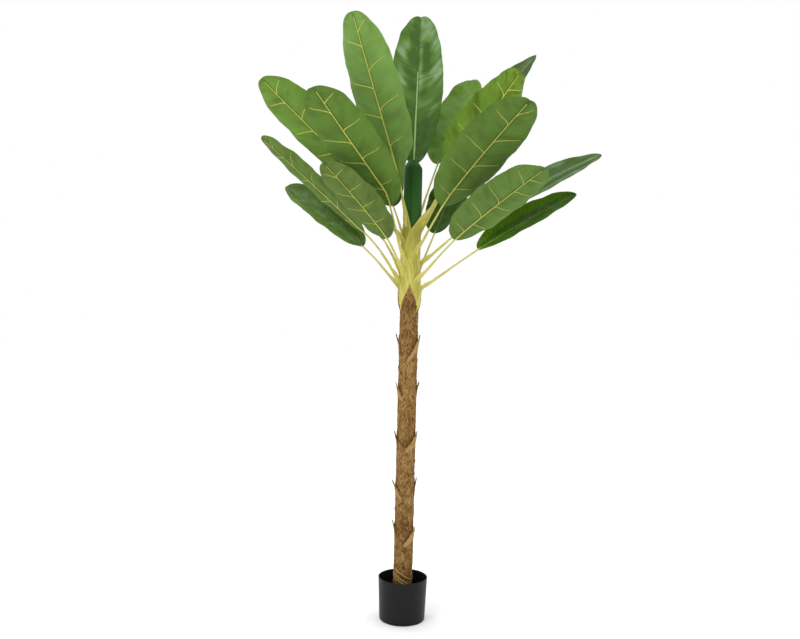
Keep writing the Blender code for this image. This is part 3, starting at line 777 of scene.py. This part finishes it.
def make_sheaths(leaves):
    build = Build()
    order = sorted(leaves, key=lambda leaf: -leaf.leaf["height"])
    for layer, leaf in enumerate(order):
        p, d, q, width = sheath_surface(leaf, layer)
        n = grid_normals(p)
        outward = np.stack([p[..., 0], p[..., 1], 0 * p[..., 2]], -1)
        if (n * outward).sum() < 0:
            n = -n
        thick = 0.0016 * (1 - 0.55 * np.abs(q) ** 2)
        uv = np.stack([d + 0.2, q * width / 2], -1)
        height = p[..., 2]
        # painted shade: each sheath is darker just below where its stalk leaves and higher up the shaft, and lighter
        # further down; its edges are a little lighter and the layers differ a little
        shade = (0.50 + 0.20 * np.abs(q) ** 3 - 0.22 * np.exp(-((d + 0.035) / 0.050) ** 2) * (1 - 0.6 * np.abs(q))
                 - 0.20 * smooth((height - 1.42) / 0.12) + 0.12 * smooth((1.36 - height) / 0.08)
                 + 0.10 * math.sin(2.7 * layer) + 0.10 * smooth((d - 0.02) / 0.04))
        # painted shade: the two flanks are darker, the left one most
        round_ = np.degrees(np.arctan2(p[..., 1], p[..., 0]))
        shade = shade - 0.20 * np.exp(-(turn_between(round_, 178) / 34) ** 2) - 0.08 * np.exp(-(turn_between(round_, -2) / 26) ** 2)
        shell(build, p, n, thick, (0, 0), uv, shade)
    # the core that the sheaths lie on
    z = np.linspace(1.205, 1.532, 52)[:, None]
    angle = (2 * np.pi * np.arange(64) / 64)[None, :]
    r = shaft_radius(z) + 0 * angle
    p = np.stack([r * np.cos(angle), r * np.sin(angle), z + 0 * angle], -1)
    inner = p[::-1] * np.array([0.88, 0.88, 1.0])
    ring = np.concatenate([p, inner, p[:1]])
    faces = grid_faces(len(ring) - 1, 64, closed=True)
    k = len(ring) - 2
    faces += [(k * 64 + j, k * 64 + (j + 1) % 64, (j + 1) % 64, j) for j in range(64)]
    verts = ring[:-1].reshape(-1, 3)
    uv = np.stack(np.broadcast_arrays(ring[:-1, :, 2], angle * 0.04), -1)
    # painted shade: the core gets a dark tone, for the shade between the sheaths
    build.add(verts, faces, 0, uv, np.full(len(verts), 0.16))
    ob = build.make("leaf_sheaths", [SHEATH_SKIN], 40, ("TintAndShade",))
    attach(ob, "root")
    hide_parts("crown_shaft")


def make_rolled():
    """The leaf in the middle, rolled up one turn and two thirds."""
    build = Build()
    rows, cols = 70, 120
    v = np.linspace(0, 1, rows)[:, None]
    turn = np.linspace(0, 1, cols)[None, :]
    sweep = 2 * math.pi * 1.72
    # the outer edge lies at the front, a little to the left
    angle = math.radians(-104) - sweep * (1 - turn) + 0.10 * (v - 0.5)
    body = 0.0292 + 0.0096 * turn ** 1.1
    outline = np.where(v < 0.87, 0.88 + 0.12 * smooth(v / 0.30), 1.0 - 0.60 * smooth((v - 0.87) / 0.15) ** 1.3)
    low, top = 1.523, 1.831
    tilt = 0.008 * np.cos(angle - math.radians(175))
    z = low + (top - low) * v + tilt * smooth((v - 0.8) / 0.2) * (1 - 0.6 * v)
    r = body * outline * (1 + 0.012 * np.sin(7 * angle + 3 * v) * smooth(v * 4))
    r = r + 0.00035 * np.sin(2 * math.pi * (angle * 0.032 * 0.6 + v * 0.31) / 0.0105) * smooth(v * 6)
    lean = 0.0045 * smooth(v * 5)
    p = np.stack([lean + r * np.cos(angle), r * np.sin(angle), z + 0 * angle], -1)
    n = grid_normals(p)
    outward = np.stack([np.cos(angle) + 0 * v, np.sin(angle) + 0 * v, 0 * r], -1)
    if (n * outward).sum() < 0:
        n = -n
    uv = np.stack([z + 0 * angle, angle * 0.034 + 0 * z], -1)
    shell(build, p, n, 0.0011 + 0 * r, (0, 0), uv)
    ob = build.make("rolled_leaf_wrap", [leaf_material("rolled_leaf_cloth", (44, 86, 34), True, 2.0, (1.0, 1.0), 0.3, midrib_shadow=0.0)], 45, ("Pleat", "SheenShadeMottling"))
    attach(ob, "root")
    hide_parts("rolled_leaf")


# -------------------------------------------------------------------- bark
# old leaf bases: height of the tip, azimuth, drop to the foot of its V,
# half of the angle it covers there, how far the tip stands off, how pale it is
STUBS = [
    (1.136, -8, 0.100, 88, 0.006, 0.26), (1.137, 186, 0.070, 34, 0.0095, -0.12),
    (0.942, -178, 0.060, 64, 0.005, 0.18), (0.948, 6, 0.050, 34, 0.007, 0.05),
    (0.750, -14, 0.068, 76, 0.004, 0.26), (0.748, 180, 0.052, 36, 0.007, -0.02),
    (0.556, -174, 0.070, 66, 0.010, 0.18), (0.562, 4, 0.056, 26, 0.005, -0.22),
    (0.372, -12, 0.066, 78, 0.005, 0.26), (0.392, 182, 0.056, 40, 0.006, 0.02),
    (1.120, 88, 0.080, 56, 0.007, 0.10), (0.930, 80, 0.070, 60, 0.006, 0.10),
    (0.742, 96, 0.080, 56, 0.007, 0.10), (0.556, 84, 0.070, 60, 0.006, 0.10),
    (0.380, 92, 0.080, 56, 0.006, 0.10),
]
# broad darker (or lighter) places of the bark: azimuth, height, half-angle,
# half-height, gain
BARK_SHADES = [
    (-96, 1.255, 60, 0.034, -0.13), (-96, 1.313, 30, 0.020, 0.10), (-150, 1.290, 18, 0.050, -0.22),
    (-96, 1.120, 34, 0.034, -0.07), (-100, 1.000, 40, 0.030, 0.05), (-80, 0.900, 44, 0.034, 0.08),
    (-70, 0.790, 15, 0.038, -0.20), (-112, 0.700, 20, 0.018, -0.16), (-96, 0.640, 50, 0.040, 0.04),
    (-98, 0.386, 26, 0.046, -0.20), (-90, 0.470, 60, 0.030, 0.03), (-84, 0.280, 40, 0.030, 0.05),
    (84, 1.260, 60, 0.034, -0.12), (120, 1.010, 40, 0.030, 0.06), (60, 0.820, 34, 0.040, -0.14),
    (100, 0.640, 40, 0.040, 0.05), (76, 0.450, 30, 0.044, -0.12), (112, 0.270, 40, 0.030, 0.05),
]
# raffia wound round the foot: azimuth and height where it starts, turn in
# degrees, fall over the turn
RAFFIA = [
    (-176, 0.199, 118, 0.052), (-158, 0.208, 136, 0.050), (-170, 0.184, 108, 0.046),
    (-20, 0.200, 150, 0.046), (60, 0.196, 130, 0.050), (110, 0.206, 120, 0.048),
]
CROWN_FOOT = 1.236        # lowest point of the bark's upper border
CROWN_POINTS = [(-92, 1.334, 58), (92, 1.326, 60), (178, 1.322, 26), (6, 1.300, 20)]


def turn_between(a, b):
    """Difference of two azimuths in degrees, -180..180."""
    return (np.asarray(a) - b + 180.0) % 360.0 - 180.0


def bark_border(azimuth):
    """Upper edge of the bark round the green shaft: a few long points."""
    z = np.full(np.shape(azimuth), CROWN_FOOT)
    for centre, tip, half in CROWN_POINTS:
        off = np.abs(turn_between(azimuth, centre)) / half
        z = np.maximum(z, tip - (tip - CROWN_FOOT) * off ** 0.85)
    return z


def trunk_base(z):
    share = np.clip(z / TRUNK_TOP, 0, 1)
    r = (TRUNK_FOOT_D + (TRUNK_D - TRUNK_FOOT_D) * share) / 2
    # the bark opens over the swelling foot of the green shaft
    return np.maximum(r, shaft_radius(z) + 0.0062 * smooth((z - 1.190) / 0.080))


def stub_edge(azimuth, stub):
    """Height of an old leaf base's upper edge at an azimuth; -1 outside it."""
    tip, centre, drop, half = stub[:4]
    off = np.abs(turn_between(azimuth, centre)) / half
    return np.where(off <= 1.0, tip - drop * off ** 0.9, -1.0)


def bark_relief(azimuth, z):
    """(height, darkness) of the fibrous bark at an azimuth and a height."""
    u = azimuth / 360.0
    v = z / 1.40
    warp = value_noise(u, v, (10, 70), 11)
    warp2 = value_noise(u, v, (7, 45), 12)
    a = np.radians(azimuth)
    one = np.sin(7 * a + z / 0.0068 + 2.6 * warp)
    two = np.sin(-8 * a + z / 0.0075 + 2.6 * warp2)
    net = np.maximum(1 - np.abs(one) ** 0.7, 1 - np.abs(two) ** 0.7)
    lumps = (value_noise(u, v, (13, 70), 13) * 0.30 + value_noise(u, v, (31, 190), 14) * 0.45
             + value_noise(u, v, (52, 340), 18) * 0.40)
    fibres = value_noise(u + 0.02 * warp, v, (110, 120), 15)
    fine = value_noise(u, v, (90, 420), 16)
    strands = value_noise(u + 0.35 * v * 2.0, v, (46, 60), 17)
    height = 0.0012 * (net - 0.45) + 0.0015 * lumps + 0.0006 * fibres + 0.0003 * fine + 0.0006 * strands
    tone_ = 0.50 + 0.24 * (net - 0.45) + 0.26 * lumps + 0.12 * fibres + 0.08 * strands + 0.08 * fine
    for centre, middle, half, tall, gain in BARK_SHADES:
        reach = (turn_between(azimuth, centre) / half) ** 2 + ((z - middle) / tall) ** 2
        tone_ = tone_ + gain * np.exp(-reach) * (1 + 0.5 * lumps)
    return height, tone_


def make_trunk():
    cols = 196
    low = FILL_SOCKET + GAP
    z_rows = np.concatenate([[low, 0.06, 0.095], np.linspace(0.100, 1.190, 386)])
    azimuth = 360.0 * np.arange(cols) / cols - 180.0
    share = np.linspace(0, 1, 52)[1:]
    z = np.repeat(z_rows[:, None], cols, axis=1)
    top = 1.190 + (bark_border(azimuth)[None] - 1.190) * share[:, None]
    z = np.vstack([z, top])
    az = np.broadcast_to(azimuth, z.shape)
    height, shade = bark_relief(az, z)
    r = trunk_base(z) + height
    crevice_shade = np.zeros_like(z)
    for stub in STUBS:
        edge = stub_edge(az, stub)
        below = edge - z
        # the bark swells a little under each old leaf base, and is darkened just above it by a painted shade in the
        # crevice
        r = r + np.where((edge > 0) & (below > 0), 0.0020 * np.exp(-np.maximum(below, 0) / 0.06), 0.0)
        crevice_shade = np.maximum(crevice_shade, np.where(edge > 0, smooth((z - edge) / 0.003) * np.exp(-np.maximum(z - edge, 0) / 0.022), 0.0))
        crevice_shade = crevice_shade * 1.0
    shade = shade - 0.30 * crevice_shade
    shade = shade - 0.12 * smooth((0.205 - z) / 0.04) - 0.09 * smooth((0.46 - z) / 0.12)
    # painted shade: the left side of the trunk is darker
    shade = shade - 0.09 * np.exp(-(turn_between(az, -168) / 30) ** 2)
    # the upper border thins out to a ragged edge
    near = np.zeros_like(z)
    near[-8:] = (np.arange(8) / 7.0)[:, None]
    r = r - 0.0010 * near
    a = np.radians(az)
    p = np.stack([r * np.cos(a), r * np.sin(a), z], -1)
    rows = len(z)
    inner = p[-1] * 1.0
    inner_r = r[-1] - 0.0022
    lip = np.stack([inner_r * np.cos(a[-1]), inner_r * np.sin(a[-1]), z[-1] - 0.0006], -1)
    well = np.stack([0.030 * np.cos(a[-1]), 0.030 * np.sin(a[-1]), np.full(cols, 1.200)], -1)
    p = np.concatenate([p, lip[None], well[None]])
    # painted shade on the inner lip and in the well at the top
    value = np.concatenate([shade, shade[-1:] - 0.2, shade[-1:] * 0])
    rows += 2
    faces = grid_faces(rows, cols, closed=True)
    faces.append(tuple(reversed(range(cols))))
    faces.append(tuple((rows - 1) * cols + j for j in range(cols)))
    uv = np.stack([p[..., 2], np.broadcast_to(np.radians(azimuth) * 0.035, p.shape[:2])], -1)
    build = Build()
    build.add(p.reshape(-1, 3), faces, 0, uv, value)
    ob = build.make("trunk_bark", [BARK_SKIN], 80, ("TintAndShade",))
    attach(ob, "root")
    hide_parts("trunk")


def make_stubs():
    """Old leaf bases: pointed, smoother, pale strips that lap the bark, small
    flakes that have come loose, and the raffia round the foot."""
    build = Build()
    for k, stub in enumerate(STUBS):
        tip, centre, drop, half, stand, pale = stub
        rows, cols = 32, 41
        v = np.linspace(0, 1, rows)[:, None]          # 0 at the foot, 1 at the upper edge
        q = np.linspace(-1, 1, cols)[None, :]
        azimuth = centre + q * half
        edge = tip - drop * np.abs(q) ** 0.9
        reach = 0.018 + 0.052 * (1 - np.abs(q)) ** 0.8
        z = edge - reach * (1 - v)
        fray = 0.0030 * value_noise(0.5 + 0.45 * q, 0 * q, (23, 1), 400 + k) * v ** 3
        z = z + fray
        base = trunk_base(np.minimum(z, 1.19)) + 0.0012
        lift = 0.0022 * v ** 1.5 + stand * np.exp(-(q / 0.24) ** 2) * smooth((v - 0.40) / 0.60) ** 1.3
        sink = 0.0030 * (1 - smooth(v / 0.6))
        ribs = 0.00035 * np.sin(azimuth * 1.9 + 3 * value_noise(0.5 + 0.45 * q, v, (5, 6), 500 + k))
        r = base + lift - sink + ribs + 0.0009 * value_noise(0.5 + 0.45 * q, v, (9, 9), 600 + k)
        a = np.radians(azimuth)
        p = np.stack([r * np.cos(a), r * np.sin(a), z + 0 * r], -1)
        n = grid_normals(p)
        outward = np.stack([np.cos(a) + 0 * r, np.sin(a) + 0 * r, 0 * r], -1)
        if (n * outward).sum() < 0:
            n = -n
        uv = np.stack([z + 0 * r, np.radians(azimuth) * 0.036 + 0 * r], -1)
        speck = value_noise(0.5 + 0.45 * q, v, (19, 21), 700 + k) * 0.10 + value_noise(0.5 + 0.45 * q, v, (9, 12), 720 + k) * 0.08
        shade = 0.50 + pale * smooth(v / 0.5) + speck - 0.22 * smooth((v - 0.90) / 0.10) * np.exp(-(q / 0.25) ** 2)
        shell(build, p, n, 0.0017 + 0.0014 * np.exp(-(q / 0.22) ** 2) * v + 0 * r, (0, 0), uv, shade)
    # loose flakes
    rng = np.random.default_rng(77)
    for k in range(86):
        centre, tip = 360 * rng.random() - 180, 0.215 + 0.93 * rng.random()
        long_, wide, stand = 0.012 + 0.020 * rng.random(), 8 + 9 * rng.random(), 0.0012 + 0.0022 * rng.random()
        tilt = 24 * (rng.random() - 0.5)
        v = np.linspace(0, 1, 9)[:, None]
        q = np.linspace(-1, 1, 9)[None, :]
        azimuth = centre + q * wide * (1 - 0.75 * v ** 2) + tilt * v
        z = tip - long_ * (1 - v) + 0 * q
        r = trunk_base(z) + 0.0002 + stand * v ** 1.5 - 0.0012 * (1 - v)
        a = np.radians(azimuth)
        p = np.stack([r * np.cos(a), r * np.sin(a), z], -1)
        n = grid_normals(p)
        outward = np.stack([np.cos(a), np.sin(a), 0 * r], -1)
        if (n * outward).sum() < 0:
            n = -n
        uv = np.stack([z, np.radians(azimuth) * 0.036], -1)
        shell(build, p, n, 0.0013 + 0 * r, (0, 0), uv, 0.42 + 0.22 * rng.random() + 0 * r)
    for start, high, turn, fall in RAFFIA:
        x = np.linspace(0, 1, 44)
        a = np.radians(start + turn * x)
        z = high - fall * x + 0.0012 * np.sin(9 * x + start)
        r = trunk_base(z) + 0.0010 - 0.0022 * (smooth((0.06 - x) / 0.06) + smooth((x - 0.94) / 0.06))
        line = np.stack([r * np.cos(a), r * np.sin(a), z], -1)
        out = np.stack([np.cos(a), np.sin(a), 0 * a], -1)
        tube(build, line, 0.0019, 8, 1, flat=0.42, up=out)
    ob = build.make("old_leaf_bases", [STUB_SKIN, RAFFIA_SKIN], 40, ("TintAndShade",))
    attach(ob, "root")


# --------------------------------------------------------------------- pot
def turned(build, profile, sides, slot):
    """A closed body turned about Z; the profile starts and ends on the axis."""
    angle = 2 * np.pi * np.arange(sides) / sides
    body = np.array(profile[1:-1])
    p = np.stack([body[:, :1] * np.cos(angle), body[:, :1] * np.sin(angle),
                  np.repeat(body[:, 1:2], sides, axis=1)], -1)
    rows = len(body)
    verts = np.concatenate([p.reshape(-1, 3), [[0, 0, profile[0][1]], [0, 0, profile[-1][1]]]])
    faces = grid_faces(rows, sides, closed=True)
    first, last = rows * sides, rows * sides + 1
    for j in range(sides):
        k = (j + 1) % sides
        faces.append((first, k, j))
        faces.append((last, (rows - 1) * sides + j, (rows - 1) * sides + k))
    build.add(verts, faces, slot)


def pot_radius(z):
    return (POT_BASE_D + (POT_RIM_D - POT_BASE_D) * z / POT_HEIGHT) / 2


def make_pot():
    heel = [(pot_radius(POT_HEEL) - POT_HEEL * (1 - math.sin(a)), POT_HEEL * (1 - math.cos(a)))
            for a in np.radians(np.linspace(0, 90, 10))]
    wall = [(pot_radius(z), z) for z in np.linspace(POT_HEEL * 1.6, POT_HEIGHT - 0.0018, 24)]
    lip = [(pot_radius(POT_HEIGHT) - POT_WALL / 2 + POT_WALL / 2 * math.sin(a) * 1.0,
            POT_HEIGHT - 0.0012 + 0.0012 * math.cos(a)) for a in np.radians(np.linspace(80, -80, 9))]
    inner = [(pot_radius(z) - POT_WALL, z) for z in np.linspace(POT_HEIGHT - 0.0018, POT_FLOOR + 0.004, 14)]
    foot = [(pot_radius(POT_FLOOR) - POT_WALL - POT_HEEL * 0.5, POT_FLOOR)]
    build = Build()
    turned(build, [(0, 0)] + heel + wall + lip + inner + foot + [(0, POT_FLOOR)], 144, 0)
    ob = build.make("pot_shell", [POT_SKIN], 50)
    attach(ob, "root")
    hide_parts("pot")


def make_filling():
    """The poured filling: a rough top, slightly dished, round the trunk."""
    build = Build()
    sides = 130
    inner_r, outer_r = TRUNK_FOOT_D / 2 + GAP * 2, pot_radius(FILL_TOP) - POT_WALL - GAP * 2
    rings = np.linspace(0, 1, 46)
    angle = (2 * np.pi * np.arange(sides) / sides)[None, :]
    radius = (inner_r + (outer_r - inner_r) * rings)[:, None]
    u, v = angle / (2 * np.pi), rings[:, None]
    z = (FILL_TOP - 0.0022 + 0.0011 * value_noise(u, v, (26, 9), 71)
         + 0.0008 * value_noise(u, v, (61, 22), 72) + 0.0005 * value_noise(u, v, (80, 40), 73)
         - 0.0010 * smooth((v - 0.9) / 0.1))
    p = np.stack([radius * np.cos(angle) + 0 * z, radius * np.sin(angle) + 0 * z, z], -1)
    low = POT_FLOOR + GAP
    bottom_outer = pot_radius(POT_FLOOR) - POT_WALL - GAP * 2 - POT_HEEL * 0.5
    under = [(bottom_outer, low), (inner_r, low)]
    rest = np.stack([np.stack([r * np.cos(angle[0]), r * np.sin(angle[0]), np.full(sides, h)], -1)
                     for r, h in under])
    ring = np.concatenate([p, rest])
    rows = len(ring)
    faces = grid_faces(rows, sides, closed=True)
    faces += [((rows - 1) * sides + j, (rows - 1) * sides + (j + 1) % sides, (j + 1) % sides, j) for j in range(sides)]
    build.add(ring.reshape(-1, 3), faces, 0)
    ob = build.make("pot_filling_top", [FILL_SKIN], 60)
    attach(ob, "root")
    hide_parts("pot_filling")


# ------------------------------------------------------- shared materials
def sheath_material():
    m = Nodes("sheath_skin", 0.44, specular=0.20)
    uv = m.place()
    tone_in = m.node("ShaderNodeAttribute", attribute_name="TintAndShade").outputs["Fac"]
    streak = m.noise(m.scaled(uv, (5, 150, 1)), 1.0, 3.0, 0.6)
    broad = m.noise(m.scaled(uv, (6, 34, 1)), 1.0, 3.0, 0.6, 0.3)
    value = m.math("ADD", tone_in, m.math("MULTIPLY", m.math("SUBTRACT", broad, 0.5), 0.60))
    colour = m.ramp(value, [(0.12, linear((136, 130, 50))), (0.38, linear((164, 158, 68))), (0.58, linear((188, 180, 86))), (0.84, linear((206, 198, 110)))])
    colour = m.mix(m.math("MULTIPLY", streak, 0.30), colour, linear((150, 140, 56)))
    normal = m.bump(streak, 0.0008, 0.7)
    return m.done(colour, normal)


def bark_material(name, coarse):
    """Matted brown fibre; the vertex value "TintAndShade" makes it lighter or darker, with the fibre's own tone and
    painted shade.
    """
    m = Nodes(name, 0.85, specular=0.15)
    place = m.coords()
    tone_in = m.node("ShaderNodeAttribute", attribute_name="TintAndShade").outputs["Fac"]
    grain = m.noise(m.scaled(m.place(), (90, 360, 1)), 1.0, 4.0, 0.65, 1.4)
    flecks = m.noise(place, 240.0, 3.0, 0.7)
    value = m.math("ADD", tone_in, m.math("MULTIPLY", m.math("SUBTRACT", grain, 0.5), 0.60 * coarse))
    value = m.math("ADD", value, m.math("MULTIPLY", m.math("SUBTRACT", flecks, 0.5), 0.34 * coarse))
    colour = m.ramp(value, [(0.14, linear((72, 48, 20))), (0.36, linear((106, 77, 38))),
                            (0.55, linear((134, 104, 59))), (0.74, linear((158, 128, 78))), (0.94, linear((182, 154, 104)))])
    warm = m.noise(place, 9.0, 2.0)
    colour = m.mix(m.math("MULTIPLY", warm, 0.16), colour, linear((116, 76, 38)))
    height = m.math("ADD", m.math("MULTIPLY", grain, 1.0), m.math("MULTIPLY", flecks, 0.6))
    return m.done(colour, m.bump(height, 0.0014, 0.8))


def pot_material():
    m = Nodes("pot_plastic_skin", 0.46, specular=0.20)
    place = m.coords()
    scuff = m.noise(place, 26.0, 4.0, 0.6)
    grain = m.noise(place, 900.0, 2.0)
    colour = m.ramp(scuff, [(0.35, linear((10, 11, 11))), (0.65, linear((14, 15, 15)))])
    rough = m.math("MULTIPLY_ADD", scuff, 0.14)
    rough.node.inputs[2].default_value = 0.40
    return m.done(colour, m.bump(grain, 0.0002, 0.4), rough)


def filling_material():
    m = Nodes("filling_skin", 0.92, specular=0.2)
    place = m.coords()
    lump = m.noise(place, 120.0, 4.0, 0.65)
    colour = m.ramp(lump, [(0.32, linear((12, 12, 10))), (0.55, linear((24, 23, 20))), (0.78, linear((44, 42, 36)))])
    return m.done(colour, m.bump(lump, 0.0018, 0.9))


STALK_SKIN = rib_material("stalk_skin", (196, 192, 98), (160, 154, 66))
SHEATH_SKIN = sheath_material()
BARK_SKIN = bark_material("bark_skin", 1.0)
STUB_SKIN = bark_material("old_leaf_base_skin", 0.6)
RAFFIA_SKIN = rib_material("raffia_skin", (176, 146, 82), (132, 102, 52), 0.6)
POT_SKIN = pot_material()
FILL_SKIN = filling_material()

leaves = [Leaf(number) for number in LEAVES]
for leaf in leaves:
    make_blade(leaf)
    make_rib(leaf)
make_sheaths(leaves)
make_rolled()
make_trunk()
make_stubs()
make_pot()
make_filling()


# ------------------------------------------------------------------- stage
def make_stage():
    mesh = bpy.data.meshes.new("floor")
    k = 96
    r = 26.0
    verts = [(r * math.cos(2 * math.pi * i / k), r * math.sin(2 * math.pi * i / k), 0.0) for i in range(k)]
    mesh.from_pydata(verts, [], [tuple(range(k))])
    m = Nodes("floor_skin", 0.9, specular=0.1)
    cloud = m.noise(m.coords(), 0.6, 2.0)
    m.done(m.ramp(cloud, [(0.3, (0.86, 0.86, 0.855)), (0.7, (0.88, 0.88, 0.875))]))
    mesh.materials.append(m.material)
    floor = bpy.data.objects.new("floor", mesh)
    bpy.context.scene.collection.objects.link(floor)

    world = bpy.data.worlds.new("studio")
    world.use_nodes = True
    back = world.node_tree.nodes["Background"]
    back.inputs["Color"].default_value = (1.0, 1.0, 1.0, 1.0)
    back.inputs["Strength"].default_value = 1.0
    bpy.context.scene.world = world

    def lamp(kind, name, place, aim, power, **settings):
        light = bpy.data.lights.new(name, kind)
        light.energy = power
        for key, value in settings.items():
            setattr(light, key, value)
        ob = bpy.data.objects.new(name, light)
        bpy.context.scene.collection.objects.link(ob)
        ob.location = place
        ob.rotation_mode = "QUATERNION"
        ob.rotation_quaternion = (Vector(aim) - Vector(place)).to_track_quat("-Z", "Y")

    # two broad soft suns light the floor evenly out to the horizon; the area
    # lamps give the glossy leaves something to catch
    lamp("SUN", "key", (-2.4, -3.2, 3.9), (0, 0, 1.2), 0.95, angle=math.radians(34))
    lamp("SUN", "top", (0.5, 0.6, 5.0), (0, 0, 1.2), 0.70, angle=math.radians(60))
    lamp("AREA", "fill", (3.2, -2.8, 2.2), (0, 0, 1.4), 10, shape="RECTANGLE", size=1.2, size_y=2.2)
    lamp("AREA", "rim", (-2.6, 2.2, 2.6), (0, 0, 1.6), 22, shape="RECTANGLE", size=1.2, size_y=2.2)

    scene = bpy.context.scene
    scene.view_settings.view_transform = "Standard"
    scene.view_settings.look = "None"


def make_camera():
    """Level camera 3.12 m in front; it is turned so that the plant leans by
    the small angle at which it is pictured."""
    cam = bpy.data.cameras.new("camera")
    cam.sensor_fit = "HORIZONTAL"
    cam.sensor_width = 36.0
    cam.lens = 780.0 / 800.0 * 36.0
    cam.clip_start, cam.clip_end = 0.05, 200.0
    ob = bpy.data.objects.new("camera", cam)
    bpy.context.scene.collection.objects.link(ob)
    ob.location = (-0.0357, -3.12, 1.1935)
    roll = math.atan(0.02408)
    ob.rotation_euler = (math.pi / 2, -roll, 0.0)
    bpy.context.scene.camera = ob


make_stage()
make_camera()

bpy.context.view_layer.update()
